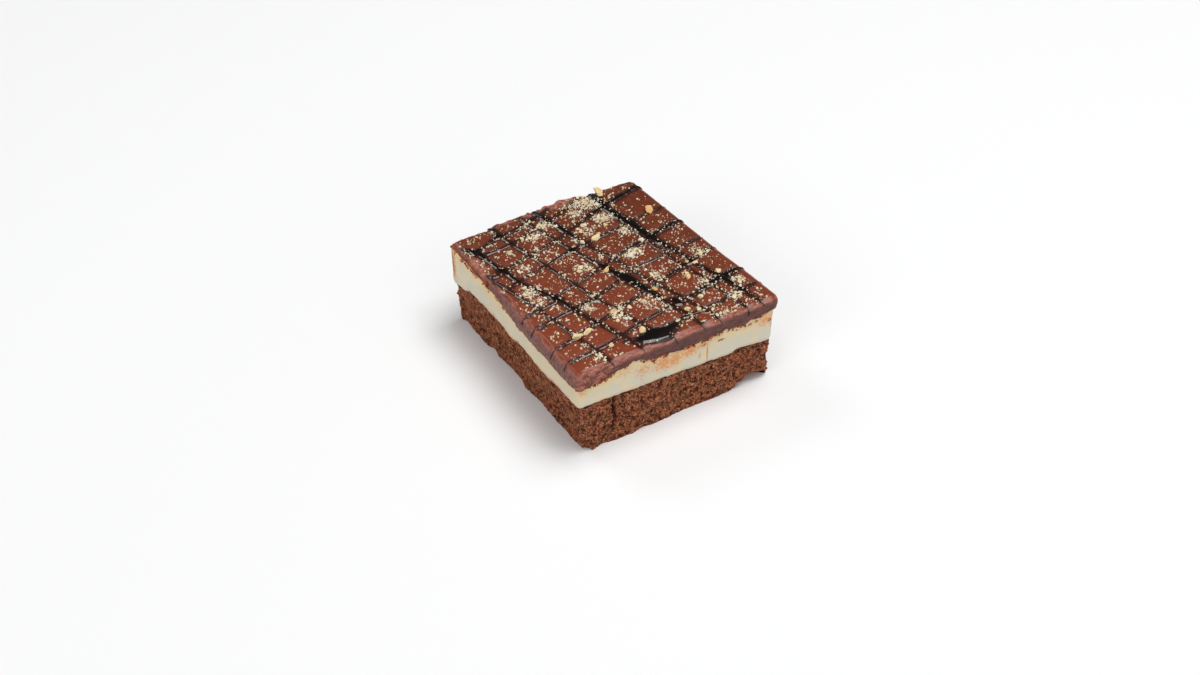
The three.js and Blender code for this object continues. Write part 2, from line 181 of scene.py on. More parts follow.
@dataclass(frozen=True)
class Plan:
    """The square seen from above, and the heights of its layers along its sides."""

    foot_width: float = 79.0
    length: float = 93.6
    top: float = 36.0
    overhang: float = 2.8
    lip: float = 1.0
    flare: float = 1.2
    back_lip: float = 2.1
    right_lip: Rows = ((-46.8, 1.2), (-30, 1.1), (-12, 0.5), (46.8, 0.5))
    radii: tuple[float, ...] = (2.4, 3.6, 3.5, 4.0)
    corner_steps: int = 12
    sponge_edge: dict[Side, Rows] = field(default_factory=lambda: {
        Side.FRONT: ((-42, 21), (-30, 20.8), (-10, 19.7), (10, 18.8), (20, 18.1), (25, 19), (39.5, 17.5)),
        Side.RIGHT: ((-46.8, 17.5), (-20, 19.5), (5, 18.4), (28, 19.8), (46.8, 19)),
        Side.BACK: ((-42, 18), (-15, 19.6), (14, 18.6), (39.5, 19)),
        Side.LEFT: ((-46.8, 21), (-20, 20.3), (-8, 22), (0, 20.7), (10, 22), (28, 22), (38, 19.6),
                    (46.8, 18)),
    })
    cream_edge: dict[Side, Rows] = field(default_factory=lambda: {
        Side.FRONT: ((-42, 29.7), (-33, 30.2), (-20, 33), (-10, 31), (-3, 30.1), (20, 30.5), (26.5, 29.4),
                     (31, 31.4), (39.5, 31)),
        Side.RIGHT: ((-46.8, 31), (-25, 30.2), (0, 31.4), (22, 30.4), (46.8, 31.6)),
        Side.BACK: ((-42, 34.5), (-20, 32), (8, 30.8), (39.5, 31.6)),
        Side.LEFT: ((-46.8, 29.9), (-25, 30.4), (-10, 31), (8, 32.7), (30, 34), (38, 34), (46.8, 34.5)),
    })
    lip_shares: Rows = ((-42, -0.45), (-27, -0.4), (-22, 0.4), (-5, 0.55), (1, 1), (13, 1), (17, 0.1),
                        (39.5, 0))
    crease: float = 1.9
    crease_depth: float = 1.8
    slope: Rows = ((-46.8, 1.3), (-43, 2.2), (-36, 2.8), (-15, 3.1), (0, 3.3), (46.8, 3.3))
    slope_depth: float = 6.2
    bulge: Rows = ((-46.8, 1), (-15, 1), (8, 0), (46.8, 0))
    turned: float = 0.9
    sponge_level: float = 19.6
    cream_level: float = 31.0
    ragged: float = 0.45
    ragged_size: float = 2.6

    @property
    def offset(self) -> Vector:
        """From the footprint's middle to the model's origin, in millimetres."""
        return Vector(((self.overhang + self.lip - self.flare) / 2, -self.back_lip / 2, 0))

    @property
    def left(self) -> float:
        """X of the left side."""
        return -self.foot_width / 2 - self.overhang

    @property
    def back(self) -> float:
        """Y of the back side; the front side is as far the other way."""
        return self.length / 2

    @property
    def middle_x(self) -> float:
        """X of the middle of the outline at the back."""
        return (self.left + self.foot_width / 2) / 2

    def right_at(self, y: Points) -> Points:
        """X of the right side, which spreads a little towards the front."""
        return self.foot_width / 2 + self.flare * (self.back - y) / self.length

    def _loop(self) -> Points:
        """Traces the outline once round from the front left corner, closely.

        Returns:
            One row for each place: x, y.
        """
        right_front, right_back = float(self.right_at(-self.back)), float(self.right_at(self.back))
        corners = [Vector(corner) for corner in ((self.left, -self.back), (right_front, -self.back),
                                                 (right_back, self.back), (self.left, self.back))]
        loop = [corners[0] + (corners[1] - corners[0]).normalized() * self.radii[0]]
        for index in (1, 2, 3, 0):
            corner, before, after = corners[index], corners[index - 1], corners[(index + 1) % 4]
            start = corner + (before - corner).normalized() * self.radii[index]
            end = corner + (after - corner).normalized() * self.radii[index]
            for step in range(self.corner_steps + 1):
                share = step / self.corner_steps
                loop.append((1 - share) ** 2 * start + 2 * share * (1 - share) * corner + share ** 2 * end)
        return np.array([place[:] for place in loop])

    def ring(self, stations: int) -> Ring:
        """Lays stations evenly round the outline.

        Args:
            stations: how many.

        Returns:
            The ring of stations, anticlockwise from the front left corner.
        """
        loop = self._loop()
        run = np.concatenate([[0], np.cumsum(np.linalg.norm(np.diff(loop, axis=0), axis=1))])
        places = np.arange(stations) / stations * run[-1]
        x, y = [np.interp(places, run, part) for part in loop.T]
        tangent_x, tangent_y = [np.roll(part, -1) - np.roll(part, 1) for part in (x, y)]
        size = np.hypot(tangent_x, tangent_y)
        return Ring(x, y, tangent_y / size, -tangent_x / size, *self.side_of(x, y))

    def side_of(self, x: Points, y: Points) -> tuple[Points, Points]:
        """Tells which side each place near the edge belongs to.

        Args:
            x: where each place is, across.
            y: where it is, lengthways.

        Returns:
            The number of the side, and how far along it the place is.
        """
        reach = np.stack([-self.back - y, x - self.right_at(y), y - self.back, self.left - x])
        side = np.argmax(reach, axis=0)
        return side, np.where(side % 2 == 0, x, y)

    def edge_height(self, edges: dict[Side, Rows], ring: Ring) -> Points:
        """Gives the height of a layer's edge.

        Args:
            edges: the heights along each side.
            ring: where they are wanted.

        Returns:
            The height at each place of the ring.
        """
        height = np.zeros(len(ring.x))
        for side, pairs in edges.items():
            height = np.where(ring.on(side), along(pairs, ring.distance), height)
        return height

    def sponge_top(self, ring: Ring) -> Points:
        """Height of the sponge's upper edge at each station."""
        return self.edge_height(self.sponge_edge, ring)

    def cream_top(self, ring: Ring) -> Points:
        """Height of the cream's upper edge, where the topping begins, at each station."""
        waves = self.ragged * (2 * patches(ring.x, ring.y, self.ragged_size, 9) - 1)
        return self.edge_height(self.cream_edge, ring) + waves

    def topping_out(self, x: Points, y: Points, out_x: Points, out_y: Points, depth: Points) -> Points:
        """Tells how far the topping's side lies out from the outline at a depth below the top.

        Args:
            x: where each place is, across.
            y: where it is, lengthways.
            out_x: across part of the direction straight out.
            out_y: lengthways part of it.
            depth: depth below the top.

        Returns:
            The distance outwards.
        """
        leftwards = np.maximum(0, -out_x)
        lip = self.back_lip * np.maximum(0, out_y) * along(self.lip_shares, x)
        lip += np.maximum(0, out_x) * along(self.right_lip, y) + leftwards * self.lip
        crease = self.crease * (1 - np.minimum(1, depth / self.crease_depth)) ** 2
        return lip - (crease * (1 - leftwards) + self.left_in(y, depth) * leftwards)

    def left_in(self, y: Points, depth: Points) -> Points:
        """Tells how far in the left side lies: it slopes at the back and bulges towards the front.

        Args:
            y: where each place is, lengthways.
            depth: its depth below the top.

        Returns:
            The distance inwards.
        """
        share = 1 - np.minimum(1, depth / self.slope_depth)
        bulge = along(self.bulge, y)
        sloping = along(self.slope, y) * (share + (1 - np.sqrt(1 - share ** 2) - share) * bulge)
        return sloping + self.turned * (1 - bulge) * (1 - np.minimum(1, depth / self.turned)) ** 2


PLAN = Plan()


# Meshes


def corners_of(made: bmesh.types.BMesh) -> Points:
    """Gives the place of each corner of a mesh."""
    return np.array([corner.co[:] for corner in made.verts])


def move_corners(made: bmesh.types.BMesh, places: Points) -> None:
    """Moves each corner of a mesh to its place."""
    for corner, place in zip(made.verts, places.tolist()):
        corner.co = place


def join(made: bmesh.types.BMesh, part: bmesh.types.BMesh) -> int:
    """Adds one mesh to another and frees it.

    Args:
        made: the mesh that grows.
        part: the mesh that is added.

    Returns:
        The number of corners that were added.
    """
    before = len(made.verts)
    carrier = bpy.data.meshes.new("carrier")
    part.to_mesh(carrier)
    part.free()
    made.from_mesh(carrier)
    bpy.data.meshes.remove(carrier)
    return len(made.verts) - before


class Drum:
    """A closed body made of rings of corners, one above another."""

    def __init__(self, stations: int, rings: int) -> None:
        """Makes it, and finds which station and which ring each corner belongs to.

        Args:
            stations: corners of each ring.
            rings: how many rings.
        """
        self.made = bmesh.new()
        bmesh.ops.create_cone(self.made, cap_ends=True, cap_tris=False, segments=stations, radius1=1,
                              radius2=1, depth=rings - 1)
        if rings > 2:
            upright = [edge for edge in self.made.edges if abs(edge.verts[0].co.z - edge.verts[1].co.z) > 0.5]
            bmesh.ops.subdivide_edges(self.made, edges=upright, cuts=rings - 2, use_grid_fill=True)
        places = corners_of(self.made)
        turn = np.arctan2(places[:, 1], places[:, 0]) / (2 * math.pi)
        self.station = np.round(turn * stations).astype(int) % stations
        self.level = np.round(places[:, 2] + (rings - 1) / 2).astype(int)
        self.last = rings - 1


class Layer(Drum):
    """A drum whose rings follow the outline of the square."""

    def __init__(self, stations: int, rings: int) -> None:
        """Makes it, and finds the place on the outline that each corner belongs to.

        Args:
            stations: corners of each ring.
            rings: how many rings.
        """
        super().__init__(stations, rings)
        self.ring = PLAN.ring(stations).spread(self.station)

    def places(self, out: Points, z: Points) -> Points:
        """Gives the place of each corner from its distance outwards and its height."""
        return np.column_stack([*self.ring.moved(out), z])

    def close(self, places: Points, level: int, draw: float, height: Points | float) -> None:
        """Draws one ring in towards the middle, so that it closes an end.

        Args:
            places: the place of each corner, which is changed.
            level: the number of the ring.
            draw: how wide it stays, as a share.
            height: its height.
        """
        end = self.level == level
        places[end, 0] = PLAN.middle_x + draw * (self.ring.x[end] - PLAN.middle_x)
        places[end, 1] = draw * self.ring.y[end]
        places[end, 2] = np.broadcast_to(height, len(places))[end]


def finished(name: str, made: bmesh.types.BMesh, material: bpy.types.Material,
             attributes: dict[str, Points], stands_for: str | None = None,
             smooth: bool = True) -> bpy.types.Object:
    """Turns a bmesh in millimetres into a piece of the model, in the model's own frame.

    Args:
        name: the piece's name.
        made: its mesh, which is freed.
        material: its finish.
        attributes: values that the finish reads, one for each corner.
        stands_for: the solid that it replaces, if any.
        smooth: whether its faces are shaded as one surface.

    Returns:
        The new object.
    """
    bmesh.ops.translate(made, verts=made.verts, vec=PLAN.offset)
    bmesh.ops.scale(made, verts=made.verts, vec=(MM, MM, MM))
    bmesh.ops.recalc_face_normals(made, faces=made.faces)
    mesh = bpy.data.meshes.new(name)
    made.to_mesh(mesh)
    made.free()
    if smooth:
        mesh.shade_smooth()
    for label, values in attributes.items():
        mesh.attributes.new(label, "FLOAT", "POINT").data.foreach_set("value", values.astype(np.float32))
    mesh.materials.append(material)
    piece = bpy.data.objects.new(name, mesh)
    bpy.context.scene.collection.objects.link(piece)
    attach(piece, "root")
    if stands_for:
        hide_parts(stands_for)
    LOG.info("%s: %d faces", name, len(mesh.polygons))
    return piece


def swarm(count: int) -> tuple[bmesh.types.BMesh, int]:
    """Makes many equal balls of unit radius in one mesh, by doubling the first one again and again.

    Args:
        count: how many balls.

    Returns:
        The mesh, and the number of corners of each ball, whose corners follow one another.
    """
    made = bmesh.new()
    bmesh.ops.create_icosphere(made, subdivisions=1, radius=1)
    corners = len(made.verts)
    while len(made.verts) < corners * count:
        bmesh.ops.duplicate(made, geom=[*made.verts, *made.edges, *made.faces])
    bmesh.ops.delete(made, geom=made.verts[:][corners * count:], context="VERTS")
    return made, corners


def scattered(name: str, middles: Points, sizes: Points, material: bpy.types.Material,
              seed: int, tone: Pair = (0.0, 1.0)) -> bpy.types.Object:
    """Scatters small angular grains as one piece.

    Args:
        name: the piece's name.
        middles: one row for each grain, its place in millimetres.
        sizes: the radius of each grain.
        material: its finish, which reads each grain's tone.
        seed: picks the draws.
        tone: least and greatest tone.

    Returns:
        The piece.
    """
    dents, stretches = (0.68, 1.22), (0.6, 1.35)
    rolls = np.random.default_rng(seed)
    count = len(sizes)
    made, corners = swarm(count)
    unit = corners_of(made).reshape(count, corners, 3)
    unit = unit * rolls.uniform(*dents, (count, corners, 1)) * rolls.uniform(*stretches, (count, 1, 3))
    turns, _ = np.linalg.qr(rolls.normal(size=(count, 3, 3)))
    places = np.einsum("gck,gkl->gcl", unit, turns) * sizes[:, None, None] + middles[:, None, :]
    move_corners(made, places.reshape(-1, 3))
    tones = np.repeat(rolls.uniform(*tone, count), corners)
    return finished(name, made, material, {"tone": tones}, smooth=False)


# Finishes


def tint(red: int, green: int, blue: int) -> tuple[float, ...]:
    """Turns a colour as seen on a screen, from 0 to 255, into the linear colour that a shader takes."""
    linear = [c / 255 / 12.92 if c <= 10 else ((c / 255 + 0.055) / 1.055) ** 2.4 for c in (red, green, blue)]
    return (*linear, 1.0)


class Value:
    """A socket that can stand in Python sums, each of which adds a Math node."""

    def __init__(self, graph: "Graph", socket: bpy.types.NodeSocket) -> None:
        """Keeps the socket and the graph that it belongs to."""
        self.graph = graph
        self.socket = socket

    def _sum(self, operation: str, *parts: "Value | float") -> "Value":
        """Adds one Math node."""
        return self.graph.value("ShaderNodeMath", {"operation": operation}, dict(enumerate(parts)))

    def __add__(self, other: "Value | float") -> "Value":
        """Adds."""
        return self._sum("ADD", self, other)

    __radd__ = __add__

    def __mul__(self, other: "Value | float") -> "Value":
        """Multiplies."""
        return self._sum("MULTIPLY", self, other)

    __rmul__ = __mul__

    def __sub__(self, other: "Value | float") -> "Value":
        """Subtracts."""
        return self._sum("SUBTRACT", self, other)

    def __rsub__(self, other: "Value | float") -> "Value":
        """Subtracts this from another."""
        return self._sum("SUBTRACT", other, self)

    def ramp(self, low: float, high: float, start: float = 0.0, end: float = 1.0) -> "Value":
        """Rises smoothly from start, where this is low, to end, where it is high."""
        sockets = {"Value": self, "From Min": low, "From Max": high, "To Min": start, "To Max": end}
        return self.graph.value("ShaderNodeMapRange", {"interpolation_type": "SMOOTHSTEP"}, sockets, "Result")


Socket = Value | float | tuple


class Graph:
    """The nodes of one material, with places in millimetres, or of the world, with directions."""

    def __init__(self, name: str, world: bpy.types.World | None = None) -> None:
        """Starts an empty material, or empties the nodes of the world.

        Args:
            name: the material's name.
            world: the world, if the nodes are for it.
        """
        self.owner = world or bpy.data.materials.new(name)
        self.owner.use_nodes = True
        self.tree = self.owner.node_tree
        self.tree.nodes.clear()
        where = self.value("ShaderNodeTexCoord", {}, {}, "Generated" if world else "Object")
        scale = (1, 1, 1) if world else (1 / MM,) * 3
        self.place = self.value("ShaderNodeMapping", {"vector_type": "POINT"},
                                {"Vector": where, "Scale": scale}, "Vector")

    def node(self, kind: str, settings: dict[str, object],
             sockets: dict[str | int, Socket]) -> bpy.types.Node:
        """Adds a node.

        Args:
            kind: the node's type.
            settings: its settings, which are set first.
            sockets: the value or link of each input, by name or number.

        Returns:
            The node.
        """
        node = self.tree.nodes.new(kind)
        for name, setting in settings.items():
            setattr(node, name, setting)
        for name, part in sockets.items():
            socket = self._pick(node.inputs, name)
            if isinstance(part, Value):
                self.tree.links.new(part.socket, socket)
            else:
                socket.default_value = part
        return node

    def _pick(self, sockets: bpy.types.bpy_prop_collection, name: str | int) -> bpy.types.NodeSocket:
        """Picks one socket.

        Args:
            sockets: the inputs or outputs of a node.
            name: its number, or its name among those in use.

        Returns:
            The socket.
        """
        if isinstance(name, int):
            return sockets[name]
        return next(socket for socket in sockets if socket.name == name and socket.enabled)

    def value(self, kind: str, settings: dict[str, object], sockets: dict[str | int, Socket],
              output: str | int = 0) -> Value:
        """Adds a node and gives one of its outputs."""
        return Value(self, self._pick(self.node(kind, settings, sockets).outputs, output))

    def noise(self, size: float, detail: float = 2, rough: float = 0.5, stretch: Triple = (1, 1, 1)) -> Value:
        """Gives noise from 0 to 1.

        Args:
            size: how large its lumps are, about.
            detail: how many finer layers it has.
            rough: how strong those are.
            stretch: how much closer the lumps lie along each axis.

        Returns:
            The noise.
        """
        place = self.value("ShaderNodeVectorMath", {"operation": "MULTIPLY"},
                           {0: self.place, 1: stretch}, "Vector")
        sockets = {"Vector": place, "Scale": 1 / size, "Detail": detail, "Roughness": rough}
        return self.value("ShaderNodeTexNoise", {}, sockets, "Fac")

    def cells(self, size: float) -> Value:
        """Gives the distance to the nearest of points that lie about that far apart."""
        sockets = {"Vector": self.place, "Scale": 1 / size, "Randomness": 1.0}
        return self.value("ShaderNodeTexVoronoi", {"feature": "F1"}, sockets, "Distance")

    def attribute(self, name: str) -> Value:
        """Gives a value that the mesh keeps at its corners."""
        return self.value("ShaderNodeAttribute", {"attribute_name": name}, {}, "Fac")

    def axis(self, name: str) -> Value:
        """Gives one coordinate of the place, in millimetres."""
        return self.value("ShaderNodeSeparateXYZ", {}, {"Vector": self.place}, name)

    def mix(self, share: Value | float, first: Socket, second: Socket) -> Value:
        """Blends two colours."""
        settings = {"data_type": "RGBA", "blend_type": "MIX", "clamp_factor": True}
        return self.value("ShaderNodeMix", settings, {"Factor": share, "A": first, "B": second}, "Result")

    def bump(self, height: Value, distance: float, strength: float = 1.0) -> Value:
        """Turns a height into a bent normal; distance is in millimetres."""
        sockets = {"Height": height, "Distance": distance * MM, "Strength": strength}
        return self.value("ShaderNodeBump", {}, sockets, "Normal")

    def finish(self, colour: Socket, rough: Socket, gloss: float, normal: Value | None = None,
               sockets: dict[str, Socket] | None = None) -> bpy.types.Material:
        """Ends the material in a Principled shader.

        Args:
            colour: its base colour.
            rough: its roughness.
            gloss: its specular level.
            normal: its bent normal, if it has relief.
            sockets: its other inputs, by name.

        Returns:
            The material.
        """
        inputs = {"Base Color": colour, "Roughness": rough, "Specular IOR Level": gloss, **(sockets or {})}
        if normal:
            inputs["Normal"] = normal
        shader = self.value("ShaderNodeBsdfPrincipled", {}, inputs, "BSDF")
        self.node("ShaderNodeOutputMaterial", {}, {"Surface": shader})
        return self.owner


def depth_glow(weight: float, radius: Triple, scale: float) -> dict[str, Socket]:
    """Gives the inputs for light that sinks into a surface."""
    return {"Subsurface Weight": weight, "Subsurface Radius": radius, "Subsurface Scale": scale}


@dataclass(frozen=True)
class SpongeFinish:
    """Crumbly chocolate sponge, with painted shade in its pores and hollows and painted light on its crumb
    tops; no shine.
    """

    # Painted shade: the colour that pores, crevices and hollows are darkened towards
    pore: tuple = tint(70, 32, 17)
    crumb: tuple = tint(160, 97, 65)
    red: tuple = tint(176, 92, 56)
    olive: tuple = tint(136, 90, 58)
    # Painted light: the colour that crumb tops are lightened towards
    light: tuple = tint(222, 162, 122)

    def material(self) -> bpy.types.Material:
        """Makes the material.

        Returns:
            The material.
        """
        graph = Graph("sponge_crumb")
        hollow = graph.attribute("hollow")
        fine = graph.noise(0.34, 2, 0.7)
        grain = graph.noise(0.7, 3, 0.75)
        colour = graph.mix(graph.noise(3.6, 4, 0.7).ramp(0.45, 0.58), self.crumb, self.red)
        colour = graph.mix(graph.noise(2.4, 4, 0.7).ramp(0.5, 0.6) * 0.9, colour, self.olive)
        # Painted light on crumb tops, where the bump is high and the surface is not hollow
        tip_highlight = (fine.ramp(0.5, 0.68) * grain.ramp(0.4, 0.6) * (1.3 - hollow)).ramp(0.1, 0.7)
        colour = graph.mix(tip_highlight * 0.9, colour, self.light)
        # Painted shade in pores, crevices, the crack, the undercut and where the bump is low
        dark = (hollow * 0.7 + (1 - grain) * 0.75 + (1 - fine) * 0.4).ramp(0.68, 1.12)
        colour = graph.mix(dark, colour, self.pore)
        relief = graph.bump(fine * 0.5 + grain, 0.32, 0.9)
        return graph.finish(colour, grain.ramp(0.3, 0.7, 0.78, 0.98), 0.25, relief)


@dataclass(frozen=True)
class GrainFinish:
    """Loose crumbs, each of its own tone between two colours."""

    name: str
    dark: tuple
    light: tuple
    rough: float = 0.9

    def material(self) -> bpy.types.Material:
        """Makes the material.

        Returns:
            The material.
        """
        graph = Graph(self.name)
        grain = graph.noise(0.5, 3, 0.7)
        tone = (graph.attribute("tone") + (grain - 0.5) * 1.1).ramp(0.1, 0.9)
        colour = graph.mix(tone, self.dark, self.light)
        return graph.finish(colour, self.rough, 0.25, graph.bump(grain, 0.12, 0.6))


@dataclass(frozen=True)
class CreamFinish:
    """Set milk cream: smooth and pale, stained where the topping and the syrup ran over it."""

    base: tuple = tint(219, 203, 170)
    cool: tuple = tint(207, 203, 184)
    warm: tuple = tint(228, 200, 146)
    stain: tuple = tint(218, 148, 80)
    drip: tuple = tint(206, 138, 40)
    smear: tuple = tint(150, 72, 42)

    def material(self) -> bpy.types.Material:
        """Makes the material.

        Returns:
            The material.
        """
        graph = Graph("set_cream")
        speck = graph.noise(0.95, 4, 0.62)
        cloud = graph.noise(7, 3, 0.55)
        colour = graph.mix(cloud.ramp(0.4, 0.62), self.base, self.cool)
        colour = graph.mix((graph.attribute("under") + (cloud - 0.5) * 0.8).ramp(0.1, 1), colour, self.warm)
        marked = graph.attribute("stain")
        stain = (marked + (speck - 0.5) * 2.8 * marked.ramp(0, 0.5)).ramp(0.1, 1.2)
        colour = graph.mix(stain, colour, self.stain)
        colour = graph.mix(graph.attribute("drip").ramp(0.2, 0.9) * 0.85, colour, self.drip)
        smear = (graph.attribute("smear") + (speck - 0.5) * 1.3).ramp(0.42, 0.6)
        colour = graph.mix(smear, colour, self.smear)
        pits = graph.cells(1.9).ramp(0.0, 0.16)
        height = graph.noise(2.6, 3, 0.55, (1, 1, 2.2)) * 0.7 + pits * 0.3 + stain * 0.25 + smear * 0.6
        return graph.finish(colour, cloud.ramp(0.3, 0.7, 0.34, 0.5), 0.35, graph.bump(height, 0.22, 0.8),
                            depth_glow(0.15, (1.0, 0.75, 0.45), 0.0015))


@dataclass(frozen=True)
class ChocolateFinish:
    """Milk chocolate topping: satin on top, matt and purplish where the knife went through, with painted
    shade towards the back and in the grooves by the syrup, and a painted highlight along the rim.
    """

    # Painted shade and light: the top is painted darker towards the back and lighter towards the front
    back: tuple = tint(100, 46, 27)
    front: tuple = tint(130, 60, 38)
    warm: tuple = tint(148, 76, 44)
    cut: tuple = tint(106, 61, 52)
    cut_dark: tuple = tint(78, 40, 34)
    cut_left: tuple = tint(142, 94, 84)
    # Real wear where the topping was rubbed, and a painted highlight along the rounded rim
    worn_and_rim_sheen: tuple = tint(190, 122, 102)
    dusty: tuple = tint(186, 140, 112)
    # Syrup seeped into the chocolate by the strands, also used as painted shade in the grooves between the
    # pillows
    syrup: tuple = tint(44, 19, 11)

    def material(self) -> bpy.types.Material:
        """Makes the material.

        Returns:
            The material.
        """
        graph = Graph("milk_chocolate")
        depth = graph.attribute("depth")
        near = graph.attribute("near_syrup")
        mottle = graph.noise(1.6, 4, 0.65)
        fine = graph.noise(0.4, 3, 0.6)
        streaks = graph.noise(1.5, 4, 0.7, (0.55, 0.55, 2.2))
        across, lengthways = graph.axis("X"), graph.axis("Y")
        # Painted light: the top is lighter towards the front left, and painted shade darkens it towards the
        # back right
        lit_towards_front = (lengthways * -0.7 - across * 0.5 + (graph.noise(8, 2, 0.5) - 0.5) * 60).ramp(-46, 46)
        colour = graph.mix(lit_towards_front, self.back, self.front)
        colour = graph.mix(mottle.ramp(0.48, 0.72) * 0.45, colour, self.warm)
        cut = (depth + (mottle - 0.5) * 1.3).ramp(0.5, 1.5)
        side = graph.mix(streaks.ramp(0.38, 0.6), self.cut, self.cut_dark)
        falling = graph.noise(1.1, 4, 0.7, (1.4, 1.4, 0.4)).ramp(0.34, 0.62) * 0.8 + 0.15
        side = graph.mix((1 - across.ramp(-40.5, -36.5)) * falling, side, self.cut_left)
        colour = graph.mix(cut, colour, side)
        # Painted highlight along the rounded rim just below the top, streaked, in the wear colour
        rim_highlight = depth.ramp(0.15, 0.7) * (1 - depth.ramp(0.9, 2.2))
        colour = graph.mix(rim_highlight * streaks.ramp(0.42, 0.62) * 0.7, colour, self.worn_and_rim_sheen)
        rubbed = (graph.attribute("rubbed") + (mottle - 0.5) * 1.3).ramp(0.35, 0.8)
        torn = streaks.ramp(0.42, 0.58) * 0.75 + fine.ramp(0.4, 0.62) * 0.45
        colour = graph.mix(rubbed * torn, colour, self.worn_and_rim_sheen)
        powdered = (graph.attribute("dust") + (fine - 0.5) * 1.4 + (mottle - 0.5) * 0.8).ramp(0.45, 1.2)
        colour = graph.mix(powdered * 0.45, colour, self.dusty)
        # Syrup seep next to the strands, and painted shade in the low grooves between the pillows
        seep_and_groove_shade = (near + (fine - 0.5) * 0.3).ramp(0.3, 1)
        colour = graph.mix(near.ramp(0.0, 0.5) * 0.36 + seep_and_groove_shade * 0.56, colour, self.syrup)
        rough = cut * 0.26 + rubbed * 0.2 + mottle * 0.14 + powdered * 0.15 + 0.24 - seep_and_groove_shade * 0.1
        height = mottle * (0.2 + rubbed * 1.1 + cut * 0.5) + fine * (0.06 + cut * 0.45 + rubbed * 0.5)
        return graph.finish(colour, rough, 0.42, graph.bump(height + streaks * cut * 0.8, 0.28, 0.8))


@dataclass(frozen=True)
class SyrupFinish:
    """Dark, wet syrup."""

    black: tuple = tint(16, 9, 7)
    brown: tuple = tint(58, 25, 15)

    def material(self) -> bpy.types.Material:
        """Makes the material.

        Returns:
            The material.
        """
        graph = Graph("dark_syrup")
        thick = graph.attribute("thick") + (graph.noise(3.5, 2) - 0.5) * 0.5
        colour = graph.mix(thick.ramp(0.1, 0.8), self.brown, self.black)
        rough = graph.noise(2.2, 2).ramp(0.35, 0.7, 0.06, 0.14)
        return graph.finish(colour, rough, 0.55, graph.bump(graph.noise(1.6, 1), 0.1, 0.5))


@dataclass(frozen=True)
class NutFinish:
    """Chopped pale nut, with some toasted bits."""

    pale: tuple = tint(228, 220, 196)
    cream: tuple = tint(232, 208, 160)
    gold: tuple = tint(222, 172, 104)

    def material(self) -> bpy.types.Material:
        """Makes the material.

        Returns:
            The material.
        """
        graph = Graph("chopped_nut")
        tone = graph.attribute("tone")
        grain = graph.noise(0.6, 3, 0.6)
        colour = graph.mix((tone + (grain - 0.5) * 0.7).ramp(0.1, 0.5), self.pale, self.cream)
        colour = graph.mix((tone + (grain - 0.5) * 0.9).ramp(0.55, 1.05), colour, self.gold)
        return graph.finish(colour, grain.ramp(0.3, 0.7, 0.55, 0.75), 0.3, graph.bump(grain, 0.15, 0.7),
                            depth_glow(0.08, (1.0, 0.7, 0.4), 0.0008))


@dataclass(frozen=True)
class FloorFinish:
    """Plain pale studio floor."""

    colour: tuple = (0.9, 0.9, 0.9, 1.0)

    def material(self) -> bpy.types.Material:
        """Makes the material."""
        return Graph("studio_floor").finish(self.colour, 0.9, 0.1)


# Syrup lattice


@dataclass(frozen=True)
class Strand:
    """One strand of syrup, as [x, y, width] waypoints, and how far it runs down the side at its two ends."""

    way: Rows
    fall: float = 0.0
    start_fall: float = 0.0

    def _curve(self, step: float) -> Points:
        """Runs smoothly through the waypoints.

        Args:
            step: the distance between two samples.

        Returns:
            One row for each sample: x, y, width.
        """
        knots = np.array(self.way, float)
        knots = np.vstack([2 * knots[0] - knots[1], knots, 2 * knots[-1] - knots[-2]])
        rows = []
        for index in range(1, len(knots) - 2):
            a, b, c, d = knots[index - 1 : index + 3]
            count = max(2, math.ceil(math.hypot(*(c - b)[:2]) / step))
            for share in np.arange(count) / count:
                rows.append(0.5 * (2 * b + (c - a) * share + (2 * a - 5 * b + 4 * c - d) * share ** 2
                                   + (3 * b - a - 3 * c + d) * share ** 3))
        return np.array([*rows, knots[-2]])

    def samples(self, step: float) -> Points:
        """Gives the strand a slight wobble and a width that swells and shrinks.

        Args:
            step: the distance between two samples.

        Returns:
            One row for each sample: x, y, half width.
        """
        x, y, width = self._curve(step).T
        along_x, along_y = np.gradient(x), np.gradient(y)
        size = np.hypot(along_x, along_y)
        salt = self.way[0][0] * 1.7 + self.way[0][1]
        wobble = 0.34 * (patches(x, y, 4.2, salt) - 0.5) + 0.16 * (patches(x, y, 1.6, salt + 7) - 0.5)
        swell = (0.9 + 0.5 * patches(x, y, 2.4, salt + 3)) * (0.6 + 0.22 * width)
        return np.column_stack([x - along_y / size * wobble, y + along_x / size * wobble, width / 2 * swell])


